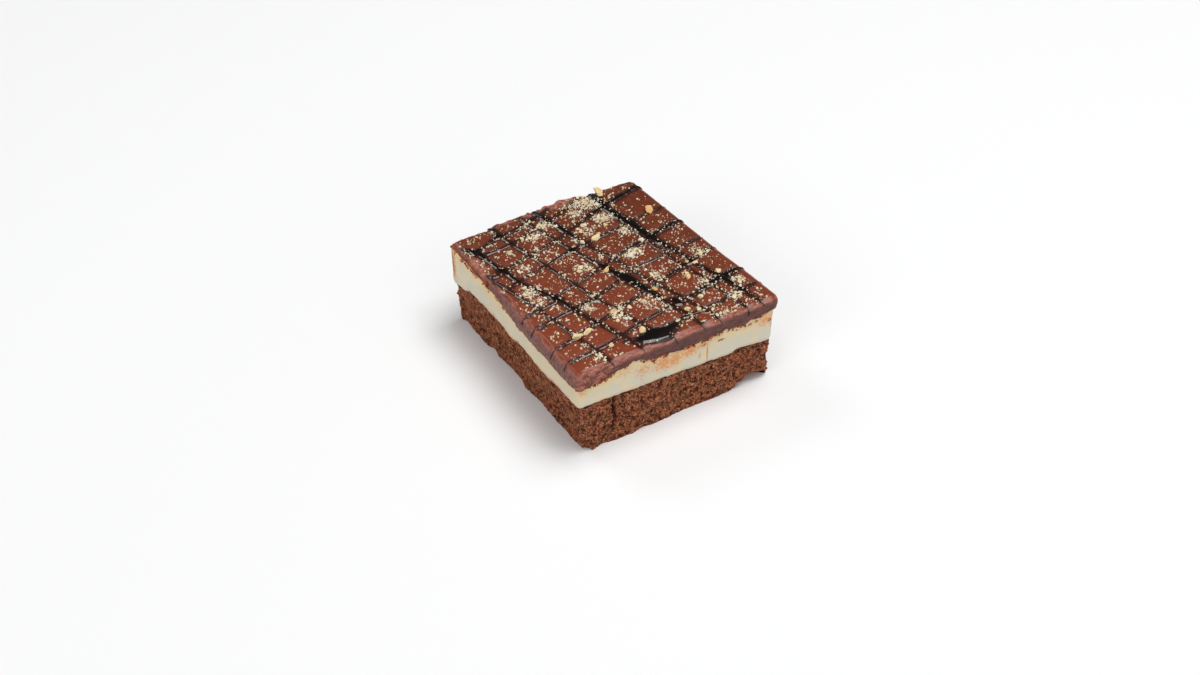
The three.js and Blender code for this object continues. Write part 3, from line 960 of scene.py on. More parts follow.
STRANDS = (
    # Lengthways, from the back to the front
    Strand(((-40.4, 19.2, 1.2), (-39.5, 14, 1.2), (-37.8, 8.3, 1.3), (-36.4, 1, 1.1), (-33.7, -14, 1),
            (-31, -31, 1), (-28.6, -44.8, 1.1)), fall=2.4),
    Strand(((-40.6, 39.4, 1.2), (-36.7, 34.2, 2.4), (-35.2, 26, 1.8), (-33.7, 17.5, 2.4), (-32, 9, 1.6),
            (-28.8, 1, 1.8), (-26, -7, 2.2), (-22.3, -22, 1.6), (-17.5, -37, 1.6), (-15.8, -44.8, 0.9)),
           fall=1.4),
    Strand(((-1.2, -38.6, 1.2), (-2.6, -42, 1.3), (-3.3, -44.8, 1)), fall=3.4),
    Strand(((-24.6, 45, 1.9), (-22.5, 31, 1.6), (-19, 13, 1.1), (-15.7, -5, 1.1), (-12, -21, 1.1),
            (-7.6, -38, 1.2)), start_fall=2.5),
    Strand(((-11.6, 45, 1.3), (-8.3, 28, 1.3), (-4.5, 12, 1.6), (-1.4, 0, 2), (1.8, -10, 3), (4.5, -22, 2),
            (7.3, -37, 1.3), (9, -44.8, 1.1)), fall=2.4, start_fall=3),
    Strand(((-5, 45, 2.2), (-2.6, 34, 2.2), (0, 20, 1.9), (3.5, 7, 1.2), (6.5, -9, 1.2), (10.3, -22, 1.2),
            (15.8, -44.8, 1.1)), fall=2, start_fall=2),
    Strand(((19.9, 45, 2.9), (20.3, 31, 2.5), (22, 21, 2.8), (23.6, 8, 2.6), (26.3, -5, 1.9), (29, -20, 1.8),
            (31.4, -30, 2.1), (34.1, -44.8, 1.3)), fall=2, start_fall=4),
    Strand(((20.6, 17, 1), (21.7, -1, 1), (24.5, -20, 1), (27.8, -44.8, 1.1)), fall=3),
    # Crossways, from the left to the right
    Strand(((-36.8, 34.8, 2.3), (-31.8, 36, 1.3), (-25.5, 38.6, 1.9), (-21.5, 38.8, 1.5), (-16, 40, 1.4),
            (-10.3, 41.3, 1.6), (-5, 43.2, 1.6), (0, 45.2, 1.2))),
    Strand(((-35.8, 31, 1.5), (-28, 31.5, 1.1), (-22.6, 32.4, 1.2), (-14, 35, 1.2), (-5, 38.1, 1.3),
            (3, 40.5, 1.2), (13, 44.4, 1))),
    Strand(((-41, 19.8, 1.3), (-37.6, 17.1, 1.2), (-34, 18.7, 1.2), (-20, 22.3, 1), (-8, 25.4, 1.1),
            (1, 29, 1.2), (17, 34.8, 1.9), (37.6, 40.6, 2.1)), fall=3),
    Strand(((-37.4, 8, 1.3), (-33.2, 9.8, 1.3), (-30, 10.8, 0.9), (-17, 14, 0.9), (-5, 17, 1.6),
            (14, 19.7, 1.1), (37.6, 23.5, 1)), fall=2),
    Strand(((-27, -4.6, 1), (-12, -1, 1), (4, 4.3, 1.2), (17, 7.5, 1.8), (37.6, 12.2, 2.2)), fall=3.6),
    Strand(((-39.8, -9.2, 1.2), (-24, -7, 1)), start_fall=2.6),
    Strand(((-24, -14, 1.2), (-8, -10.7, 1), (5.5, -5.6, 1), (16, -4.3, 1), (37.6, -1.5, 1)), fall=1.6),
    Strand(((-39.8, -16.9, 1.2), (-25, -14.7, 1.2), (-14, -14, 1)), start_fall=3.8),
    Strand(((7, -17.8, 1.2), (17, -15, 1.6), (26, -12, 1.7), (37.6, -9.2, 1.2)), fall=3.2),
    Strand(((-39.9, -30.4, 1.1), (-31, -28, 1.2), (-15, -23.7, 1.3), (0, -19.6, 1.2), (8, -18, 1)),
           start_fall=3.8),
    Strand(((-40, -38.7, 1.2), (-27, -37.7, 1.2), (-10, -33.7, 1.2), (2, -31.6, 1.2), (14, -29.8, 1.4),
            (30, -26.3, 2.4), (37.6, -25, 2)), fall=4.5, start_fall=3.2),
    Strand(((-19, -39.6, 1.2), (-4, -40.4, 2), (7, -38.7, 1.3), (22, -37.9, 1.3), (37.6, -35.3, 1.4)),
           fall=2.4),
)

# Pools as [x, y, width, length, turn in degrees]
POOLS = (
    (-33.9, 18.8, 5.2, 4.6, 0), (-26.2, -6, 4.6, 4.4, 0), (-24.6, 39, 4, 2.8, 0),
    (13, 38.5, 4.4, 3.4, 20), (-36.8, 34.4, 4.6, 4, 10), (-5.4, 17, 4.6, 3.6, 30), (-1, 1.6, 4.2, 5, 20),
    (1.9, -8, 4.4, 7, 12), (-14.6, -13.6, 3, 2.6, 0), (20.2, 44.2, 4.2, 3.6, 0), (22, 21.4, 4.4, 4.6, 0),
    (24, 8.2, 4.6, 3.6, 0), (31.3, -26.6, 6.4, 4, 0), (32.4, -36.6, 4, 3.2, 0),
    (-8.6, 42.2, 3.6, 2.2, 20), (9, -29.6, 4.4, 6.4, 20), (26.5, -12.4, 4.6, 3.2, 15),
    (-32, -28.4, 2.6, 2.4, 0), (-21.4, -24.6, 3, 2.6, 0), (-11.6, -22.4, 2.6, 2.4, 0),
    (14.5, -30, 3, 2.6, 0),
)
# Outline of the wide pool that reaches the front edge, as [x, y]
FRONT_POOL = (
    (-14.7, -39.4), (-12, -38.5), (-8.4, -37.5), (-5.9, -38), (-3.9, -39.3), (0.7, -39.9), (3.9, -38.9),
    (5.9, -38.4), (1.8, -41.9), (-0.9, -43.5), (-2.6, -44.2), (-4.3, -46.4), (-7.1, -45.9), (-10.3, -45.2),
    (-12, -44.6), (-14.5, -43.6), (-16.4, -41.4),
)


class SyrupField:
    """How far each place on the top is from the edge of the syrup: below zero in it, above zero outside."""

    STEP = 0.28
    LOW = (-44.0, -49.0)
    SIZE = (312, 352)
    BLEND = 0.34
    REACH = 9.0
    LIMIT = 12

    def __init__(self) -> None:
        """Works the field out on a grid."""
        axes = [low + self.STEP * np.arange(size) for low, size in zip(self.LOW, self.SIZE)]
        x, y = np.meshgrid(*axes, indexing="ij")
        total = np.zeros(x.shape)
        for away in (*[self._from_strand(strand, x, y) for strand in STRANDS],
                     *[self._from_pool(pool, x, y) for pool in POOLS], self._from_outline(FRONT_POOL, x, y)):
            total += np.exp(-np.clip(away, -self.LIMIT, self.LIMIT) / self.BLEND)
        self.grid = -self.BLEND * np.log(np.maximum(total, 1e-16))

    def _cells(self, first: float, second: float, axis: int) -> slice:
        """Picks the rows of the grid that lie near a stretch between two coordinates."""
        ends = np.array([min(first, second) - self.REACH, max(first, second) + self.REACH])
        return slice(*(np.clip(ends - self.LOW[axis], 0, FAR) / self.STEP).astype(int))

    def _from_strand(self, strand: Strand, x: Points, y: Points) -> Points:
        """Measures from one strand's edge.

        Args:
            strand: the strand.
            x: across, on the grid.
            y: lengthways.

        Returns:
            The distance at each place of the grid, which is large far away.
        """
        best = np.full(x.shape, FAR)
        samples = strand.samples(1.5)
        for (ax, ay, aw), (bx, by, bw) in zip(samples[:-1], samples[1:]):
            near = self._cells(ax, bx, 0), self._cells(ay, by, 1)
            px, py = x[near] - ax, y[near] - ay
            dx, dy = bx - ax, by - ay
            share = np.clip((px * dx + py * dy) / (dx * dx + dy * dy + 1e-9), 0, 1)
            away = np.hypot(px - share * dx, py - share * dy)
            rounded = np.sqrt(away ** 2 + 0.09) - 0.1
            best[near] = np.minimum(best[near], rounded - (aw + (bw - aw) * share))
        return best

    def _from_pool(self, pool: tuple[float, ...], x: Points, y: Points) -> Points:
        """Measures, roughly, from one pool's wavy edge.

        Args:
            pool: the pool, as in POOLS.
            x: across, on the grid.
            y: lengthways.

        Returns:
            The distance at each place of the grid.
        """
        px, py, width, length, turn = pool
        cos, sin = math.cos(math.radians(turn)), math.sin(math.radians(turn))
        u = (x - px) * cos + (y - py) * sin
        v = (y - py) * cos - (x - px) * sin
        round_part = np.hypot(u / (width / 2), v / (length / 2))
        return (round_part - 0.86) * min(width, length) / 2 + 0.7 * (patches(x, y, 1.9, px) - 0.5)

    def _from_outline(self, outline: Rows, x: Points, y: Points) -> Points:
        """Measures from a closed outline.

        Args:
            outline: its places, as [x, y].
            x: across, on the grid.
            y: lengthways.

        Returns:
            The distance at each place of the grid, below zero inside.
        """
        away = np.full(x.shape, FAR)
        inside = np.zeros(x.shape, bool)
        for (ax, ay), (bx, by) in zip(outline, (*outline[1:], outline[0])):
            dx, dy = bx - ax, by - ay
            share = np.clip(((x - ax) * dx + (y - ay) * dy) / (dx * dx + dy * dy), 0, 1)
            away = np.minimum(away, np.hypot(x - ax - share * dx, y - ay - share * dy))
            crosses = (ay > y) != (by > y)
            inside ^= crosses & (x < ax + (y - ay) * dx / (dy if dy else 1))
        return np.where(inside, -away, away)

    def at(self, x: Points, y: Points) -> Points:
        """Reads the field, blending between places of the grid.

        Args:
            x: across, in millimetres.
            y: lengthways.

        Returns:
            The distance from the syrup's edge.
        """
        u, v = [np.clip((part - low) / self.STEP, 0, size - 1.001)
                for part, low, size in zip((x, y), self.LOW, self.SIZE)]
        i, j = np.floor(u).astype(int), np.floor(v).astype(int)
        u, v = u - i, v - j
        near = self.grid[i, j] * (1 - u) + self.grid[i + 1, j] * u
        far = self.grid[i, j + 1] * (1 - u) + self.grid[i + 1, j + 1] * u
        return near * (1 - v) + far * v


@dataclass
class TopSurface:
    """The top of the topping: cells that stand up like pillows between the strands, and a rounded rim."""

    syrup: SyrupField
    pillow: float = 0.5
    pillow_reach: float = 0.95
    sunk: float = 0.12
    unevenness: Pair = (9, 0.1)

    def inset(self, x: Points, y: Points) -> Points:
        """Measures straight in from the nearest side of the topping at its widest.

        Args:
            x: across, in millimetres.
            y: lengthways.

        Returns:
            The distance inwards.
        """
        lip = PLAN.back_lip * along(PLAN.lip_shares, x)
        return np.minimum.reduce([
            PLAN.back + y,
            PLAN.right_at(y) + along(PLAN.right_lip, y) - x,
            PLAN.back + lip - y,
            (x - PLAN.left + PLAN.lip - PLAN.left_in(y, 0.0)) + PLAN.crease,
        ])

    def cells(self, x: Points, y: Points) -> Points:
        """Gives the height of the chocolate over its cut edge, from the pillows alone.

        Args:
            x: across, in millimetres.
            y: lengthways.

        Returns:
            The height at each place.
        """
        size, swing = self.unevenness
        pillows = self.pillow * (1 - np.exp(-np.maximum(self.syrup.at(x, y), 0) / self.pillow_reach))
        return pillows - self.sunk + swing * (patches(x, y, size, 4) - 0.5)

    def height(self, x: Points, y: Points) -> Points:
        """Gives the height of the chocolate's surface above the ground.

        Args:
            x: across, in millimetres.
            y: lengthways.

        Returns:
            The height at each place.
        """
        inset = np.clip(self.inset(x, y), 0, PLAN.crease)
        drop = PLAN.crease_depth * (1 - np.sqrt(inset / PLAN.crease))
        return PLAN.top + self.cells(x, y) - drop


# Layers


@dataclass
class Sponge:
    """The chocolate sponge: a closed body whose cut sides are crags, crumbs and pores."""

    stations: int = 1280
    levels: int = 70
    crag_base: float = 0.25
    crags: Pair = (5.2, 1.7)
    fine_crags: Pair = (2.4, 0.5)
    lean_share: float = 0.75
    breaks: tuple = (((33.5, -47.8, 0), (10, 7, 4.4)), ((-41.7, -47.2, 0), (5.4, 5.2, 5.4)))
    crack_x: float = -27.0
    crack_half: float = 1.15
    crack_depth: float = 1.9
    undercut: float = 0.5
    crumbs: int = 4600
    seed: int = 3
    finish: SpongeFinish = SpongeFinish()
    skin: Points | None = None

    def _crags(self, ring: Ring, share: Points, z: Points) -> Points:
        """Lays the broad crags and the slope inwards on the left, as in the solid.

        Args:
            ring: the place on the outline of each corner.
            share: its height as a share of the sponge's.
            z: its height.

        Returns:
            How far out each corner lies.
        """
        (size, depth), (fine_size, fine_depth) = self.crags, self.fine_crags
        coarse = smooth_noise(ring.x / size, ring.y / size, z / size)
        fine = smooth_noise(ring.x / fine_size, ring.y / fine_size, z / fine_size + 31)
        lean = PLAN.overhang * np.maximum(0, -ring.out_x) * (1 - self.lean_share * share ** 2)
        return -(self.crag_base + depth * coarse * coarse + fine_depth * fine + lean)

    def _crumb(self, place: Vector) -> Pair:
        """Shapes the crumb at one place, from large and small grains, holes, lumps and pits.

        Args:
            place: the place in millimetres.

        Returns:
            How far the crumb stands out, and how much painted shade it gets in its pores and crevices, from 0
            to 1 or a little past.
        """
        bent = place + noise.noise_vector(place / 1.3) * 0.6
        big = 1 - min(1.0, noise.voronoi(bent / 0.95)[0][0] / 0.62) ** 2
        small = 1 - min(1.0, noise.voronoi(bent / 0.6)[0][0] / 0.6) ** 2
        pore = noise.noise(place / 1.05) * 0.55 + noise.noise(place / 0.6 + Vector((9, 3, 5))) * 0.45
        hole = min(1.0, max(0.0, (pore - 0.2) / 0.22))
        lump = noise.noise(place / 1.9 + Vector((3, 8, 1)))
        pit = min(1.0, max(0.0, (noise.noise(place / 1.5 + Vector((7, 2, 9))) - 0.3) / 0.16))
        return (0.26 * big + 0.17 * small + 0.3 * lump - 0.45 * eased(hole) - 0.4 * pit,
                0.36 * (1 - big) + 0.28 * (1 - small) + 0.42 * hole + 0.35 * pit - 0.25 * lump)

    def _cracked(self, ring: Ring, z: Points) -> Points:
        """Marks the crack down the front side.

        Args:
            ring: the place on the outline of each corner.
            z: its height.

        Returns:
            How deep in the crack each corner is, from 0 to 1.
        """
        bends = 0.06 * (z - 12) + 2.4 * (smooth_noise(z / 3.4, 3, 8) - 0.5)
        bends += 1.2 * (smooth_noise(z / 1.2, 5, 8) - 0.5)
        across = self.crack_half - np.abs(ring.x - self.crack_x - bends)
        ends = ramp(z, 2.6, 6) * (1 - ramp(z, 20.2, 21.2))
        return ring.on(Side.FRONT) * ramp(across, 0, 1.1) * ends * (0.35 + 0.65 * smooth_noise(z / 1.8, 1, 4))

    def _broken(self, places: Points) -> Points:
        """Moves what lies in a broken-away place out to the edge of it.

        Args:
            places: the place of each corner.

        Returns:
            The new places.
        """
        for middle, radii in self.breaks:
            away = (places - np.array(middle)) / np.array(radii)
            reach = np.linalg.norm(away, axis=1)
            waves = 1 + 0.3 * (smooth_noise(*(places / 2.1).T) - 0.5)
            share = np.where(reach < waves, waves / np.maximum(reach, 0.05), 1.0)
            moved = np.array(middle) + away * share[:, None] * np.array(radii)
            right = PLAN.right_at(moved[:, 1]) - 0.8
            moved[:, 0] = np.clip(moved[:, 0], PLAN.left + PLAN.overhang + 0.7, right)
            moved[:, 1] = np.maximum(moved[:, 1], 0.6 - PLAN.back)
            places = np.where((reach < waves)[:, None], moved, places)
        return places

    def build(self) -> bpy.types.Object:
        """Builds the sponge.

        Returns:
            The piece.
        """
        # Unseeded, noise_vector gives other values in each run
        noise.seed_set(self.seed)
        body = Layer(self.stations, self.levels + 3)
        ring, level = body.ring, body.level
        top = PLAN.sponge_top(ring)
        z = np.clip((level - 1) / (self.levels - 1), 0, 1) * (top - 0.02)
        crags = self._crags(ring, z / top, z)
        x, y = ring.moved(crags)
        crumb = [self._crumb(Vector(place)) for place in zip(x.tolist(), y.tolist(), z.tolist())]
        stand, hollow = np.array(crumb).T
        in_crack = self._cracked(ring, z)
        under = ramp(z - top, -0.9, -0.1) * ramp(patches(ring.x, ring.y, 3, 6), 0.45, 0.7)
        shift = crags + (stand - 0.1) * np.where(level <= 1, 0.5, 1.0)
        shift = shift - self.crack_depth * in_crack - self.undercut * under
        # Painted shade: the crack and the undercut below the cream are painted darker as well
        hollow = np.clip(np.clip(hollow, 0, 1) + 0.7 * in_crack + 0.6 * under, 0, 1)
        side = (level > 1) & (level < self.levels)
        lift = np.where(side, 0.3 * (smooth_noise(x / 0.7, y / 0.7, z / 0.7) - 0.5), 0)
        places = self._broken(body.places(shift, z + lift))
        self.skin = np.column_stack([places, ring.out_x, ring.out_y, np.zeros(len(z))])[side]
        body.close(places, 0, 0.8, 0.0)
        body.close(places, self.levels + 1, 0.97, top - 0.15)
        body.close(places, self.levels + 2, 0.88, PLAN.sponge_level)
        move_corners(body.made, places)
        return finished("sponge", body.made, self.finish.material(), {"hollow": hollow},
                        "sponge_base")

    def build_crumbs(self) -> bpy.types.Object:
        """Builds the loose crumbs that cling to the cut sides.

        Returns:
            The piece.
        """
        rolls = np.random.default_rng(5)
        picked = self.skin[rolls.choice(len(self.skin), self.crumbs, replace=False)]
        sizes = 0.12 + 0.3 * rolls.random(self.crumbs) ** 2
        middles = picked[:, :3] - picked[:, 3:] * sizes[:, None] * 0.25
        middles[:, 2] = np.maximum(middles[:, 2], sizes * 1.5)
        material = GrainFinish("sponge_crumbs", tint(104, 54, 32), tint(200, 128, 88)).material()
        return scattered("sponge_crumbs", middles, sizes, material, 6)


@dataclass
class Cream:
    """The layer of set cream, with marks as [place along a side, height, reach along, reach up, strength]."""

    stations: int = 720
    levels: int = 26
    finish: CreamFinish = CreamFinish()
    stains: dict[Side, Rows] = field(default_factory=lambda: {
        Side.FRONT: (
            (-16, 27.5, 5, 3.4, 0.7), (-8, 27, 4.6, 3.8, 1), (-3, 26.4, 3.6, 3.2, 1.1),
            (3, 27.2, 5, 2.6, 1), (9, 28, 4, 1.8, 0.8), (-24, 29.8, 5, 2.2, 0.6), (28, 28.6, 5, 1.6, 0.7),
            (36, 28, 4, 2.8, 1), (-6.2, 24.6, 1.4, 1.3, 1), (3, 27.4, 1.2, 0.8, 1.1),
            (7.4, 23.6, 0.9, 1.4, 0.8), (-16.5, 24, 1, 2.6, 0.5), (1, 24.6, 1.2, 0.7, 0.7),
            (-40.5, 27.6, 2.2, 1.2, 0.7), (15, 28.6, 3, 1.6, 0.6)),
        Side.LEFT: ((42.6, 28, 2, 6, 1),),
    })
    drips: dict[Side, Rows] = field(default_factory=lambda: {
        Side.FRONT: ((10.8, 23.6, 0.36, 4.6, 1.4), (-6.6, 22.4, 0.3, 2, 0.6), (7.8, 24, 0.3, 2.4, 0.5)),
        Side.LEFT: ((43.2, 28, 1, 6.5, 1.7),),
    })
    smears: dict[Side, Rows] = field(default_factory=lambda: {
        Side.FRONT: (
            (2.5, 29, 1.6, 0.6, 0.75), (9.2, 27.2, 1.7, 0.8, 0.75), (16.5, 26.7, 2.1, 0.7, 0.75),
            (25, 29, 1.8, 0.6, 0.75), (23, 28.6, 1.2, 0.5, 0.75), (38, 27, 1.6, 1.1, 0.75),
            (-33, 29.6, 2, 0.6, 0.75), (-1, 27.5, 0.5, 0.4, 0.75), (5.4, 28.6, 0.9, 0.5, 0.75),
            (19.5, 29.4, 1.4, 0.6, 0.75), (28.7, 28.6, 1.2, 0.7, 0.75), (31.8, 28.9, 1.1, 0.8, 0.75),
            (-12, 29.6, 1.6, 0.6, 0.75), (39, 24.4, 0.6, 1.4, 0.75)),
        Side.LEFT: ((43.5, 28, 0.65, 6, 0.95),),
    })

    def _marked(self, marks: dict[Side, Rows], ring: Ring, z: Points, *others: Points) -> Points:
        """Lays marks on the sides.

        Args:
            marks: the marks on each side.
            ring: the place on the outline of each corner.
            z: its height.
            others: what else marks it.

        Returns:
            The strength at each corner.
        """
        return np.maximum.reduce([*[ring.on(side) * strongest(spots, ring.distance, z)
                                    for side, spots in marks.items()], *others])

    def build(self) -> bpy.types.Object:
        """Builds the cream.

        Returns:
            The piece.
        """
        body = Layer(self.stations, self.levels + 2)
        ring = body.ring
        low = PLAN.sponge_top(ring) + 0.02
        high = PLAN.cream_top(ring) + 0.05
        share = np.clip((body.level - 1) / (self.levels - 1), 0, 1)
        z = low + (high - low) * share + 0.35 * (patches(ring.x, ring.y, 1.3, 5) - 0.5) * (1 - share) ** 2
        out = -0.12 - 0.3 * smooth_noise(ring.x / 7, ring.y / 7, z / 5)
        out -= 0.18 * smooth_noise(ring.x / 2.2, ring.y / 2.2, z / 1.6)
        out -= 0.5 * np.maximum(0, 0.12 - share) / 0.12 + 0.4 * np.maximum(0, share - 0.94) / 0.06
        places = body.places(out, z)
        body.close(places, 0, 0.88, PLAN.sponge_level + 0.6)
        body.close(places, body.last, 0.88, PLAN.cream_level)
        move_corners(body.made, places)
        below = np.maximum(high - z, 0)
        on_left = ring.on(Side.LEFT)
        groups = smooth_noise(ring.y / 2.6, z / 1.6, 14)
        from_foot = np.maximum(z - low - 1.0, 0)
        from_lip = np.maximum(below - 1.1, 0)
        stain = self._marked(self.stains, ring, z, 0.5 * np.exp(-below / 0.9) * patches(ring.x, ring.y, 5, 2),
                             on_left * 1.2 * np.exp(-from_foot / 0.7) * ramp(groups, 0.5, 0.75),
                             on_left * np.exp(-from_lip / 1.1) * ramp(groups, 0.5, 0.85))
        smear = self._marked(self.smears, ring, z, 0.72 * np.exp(-below / 0.5),
                             on_left * 0.75 * np.exp(-from_foot / 0.35) * ramp(groups, 0.62, 0.8))
        marks = {"stain": stain, "smear": smear, "drip": self._marked(self.drips, ring, z),
                 "under": np.exp(-below / 4)}
        return finished("cream", body.made, self.finish.material(), marks, "cream_layer")


@dataclass
class Topping:
    """The chocolate topping, with its cut sides, its sloping left side and its top."""

    surface: TopSurface
    dusted: Rows
    stations: int = 640
    rows: int = 90
    depths: tuple[float, ...] = (0, 0.05, 0.15, 0.3, 0.5, 0.75, 1.05, 1.4, 1.8)
    side_rings: int = 16
    bits: int = 900
    bit_chances: tuple[float, ...] = (1.0, 0.5, 0.3, 0.35)
    lump: tuple[float, ...] = (-41.4, 17.6, 34.3, 1.15)
    smear: tuple = ((-36, -47), (9.5, 3.4), (34.4, 35.7), 1.15)
    rubs: Rows = (
        (-40.5, 27, 3, 10, 1.0), (5, 46.6, 8.5, 3.2, 1.2), (-18, 45.6, 6, 1.8, 0.8), (-6, 46, 7, 2, 0.9),
        (-40.5, -8, 1.6, 9, 0.5), (30, 44.5, 8, 1.6, 0.4), (-31, 45.6, 3, 2, 0.9), (-41, 42, 2.4, 4, 0.7),
    )
    finish: ChocolateFinish = ChocolateFinish()

    def _smeared(self, x: Points, y: Points, z: Points) -> Points:
        """Marks the front left corner, where the knife smeared the topping."""
        middle, reach, heights, strength = self.smear
        return strength * blob(x, y, middle, reach) * (1 - ramp(z, *heights))

    def _lower_edge(self, ring: Ring) -> Points:
        """Height of the topping's ragged lower edge at each corner."""
        fringe = 0.4 * (patches(ring.x, ring.y, 0.8, 7) - 0.5)
        return PLAN.cream_top(ring) - 0.05 - np.maximum(0, patches(ring.x, ring.y, 1.3, 3) - 0.45) + fringe

    def _outwards(self, ring: Ring, depth: Points, below: Points) -> Points:
        """Tells how far out the topping's side lies, with its lumps, its grain and the smeared corner.

        Args:
            ring: the place on the outline of each corner.
            depth: its depth below the top.
            below: how far down the upright side it is, as a share.

        Returns:
            The distance outwards.
        """
        x, y = ring.x, ring.y
        lumps = smooth_noise(x / 3.1, y / 3.1, depth / 2.2) - 0.5
        grain = smooth_noise(x / 0.9, y / 0.9, depth / 0.7) - 0.5
        ridges = smooth_noise((x - y) / 1.9, depth / 0.75, 12) - 0.5
        torn = smooth_noise(x / 0.8, y / 0.8, depth / 0.6) - 0.5
        out = PLAN.topping_out(x, y, ring.out_x, ring.out_y, depth)
        out += ramp(depth, 0.5, 1.8) * (0.36 * lumps + 0.22 * grain) - 0.35 * ramp(below, 0.9, 1)
        return out + self._smeared(x, y, PLAN.top - depth) * (1.5 * ridges + 1.5 * torn - 0.3)

    def build(self) -> bpy.types.Object:
        """Builds the topping.

        Returns:
            The piece.
        """
        side_depths = len(self.depths) + self.side_rings
        body = Layer(self.stations, 1 + side_depths + self.rows)
        ring = body.ring
        up = np.clip(side_depths - body.level, 0, side_depths - 1)
        fixed = np.array(self.depths)[np.clip(up, 0, len(self.depths) - 1)]
        below = np.clip((up - len(self.depths) + 1) / self.side_rings, 0, 1)
        depth = fixed + below * (PLAN.top - self._lower_edge(ring) - self.depths[-1])
        edge_x, edge_y = ring.moved(self._outwards(ring, depth, below))
        draw = np.clip((body.last - body.level + 0.4) / (self.rows + 0.4), 0, 1)
        x = PLAN.middle_x + draw * (edge_x - PLAN.middle_x)
        y = draw * edge_y
        z = PLAN.top - depth + self.surface.cells(x, y) * (1 - ramp(depth, 0, 2.2))
        rubbed = np.maximum(strongest(self.rubs, x, y), self._smeared(x, y, z))
        knocked = rubbed * (smooth_noise(x / 1.5, y / 1.5, z / 1.5) - 0.45) * (1 - ramp(below, 0.8, 1))
        outer = 1.3 * knocked * ramp(draw, 0.93, 1)
        places = np.column_stack([x + ring.out_x * outer, y + ring.out_y * outer, z + 0.9 * knocked])
        body.close(places, 0, 0.88, PLAN.cream_level + 0.5)
        move_corners(body.made, places)
        # Mask for the syrup seep and the painted shade in the grooves next to the strands
        near = np.exp(-np.maximum(self.surface.syrup.at(x, y), 0) / 0.65) * (1 - ramp(depth, 0.2, 1.2))
        dust = sum(strength * blob(x, y, (px, py), (reach, reach)) for px, py, reach, strength in self.dusted)
        marks = {"depth": depth, "near_syrup": near, "rubbed": rubbed, "dust": dust}
        return finished("topping", body.made, self.finish.material(), marks, "chocolate_topping")

    def build_bits(self) -> bpy.types.Object:
        """Builds the bits of topping that the knife dragged on to the cream, and the lump on the left edge.

        Returns:
            The piece.
        """
        rolls = np.random.default_rng(17)
        ring = PLAN.ring(self.stations)
        grouped = ramp(patches(ring.x, ring.y, 3.2, 21), 0.4, 0.75)
        chance = (0.06 + grouped) * np.array(self.bit_chances)[ring.side]
        picked = rolls.choice(self.stations, self.bits, p=chance / chance.sum())
        high = PLAN.cream_top(ring)[picked]
        sizes = 0.12 + 0.4 * rolls.random(self.bits) ** 2
        below = np.abs(rolls.normal(0, 0.4, self.bits)) * (0.6 + grouped[picked]) + 0.05
        x, y = ring.spread(picked).moved(rolls.uniform(-0.42, -0.15, self.bits))
        middles = np.vstack([np.column_stack([x, y, high - below]), self.lump[:3]])
        material = GrainFinish("topping_bits", tint(112, 50, 30), tint(178, 98, 60), 0.5).material()
        return scattered("topping_bits", middles, np.append(sizes, self.lump[3]), material, 57)


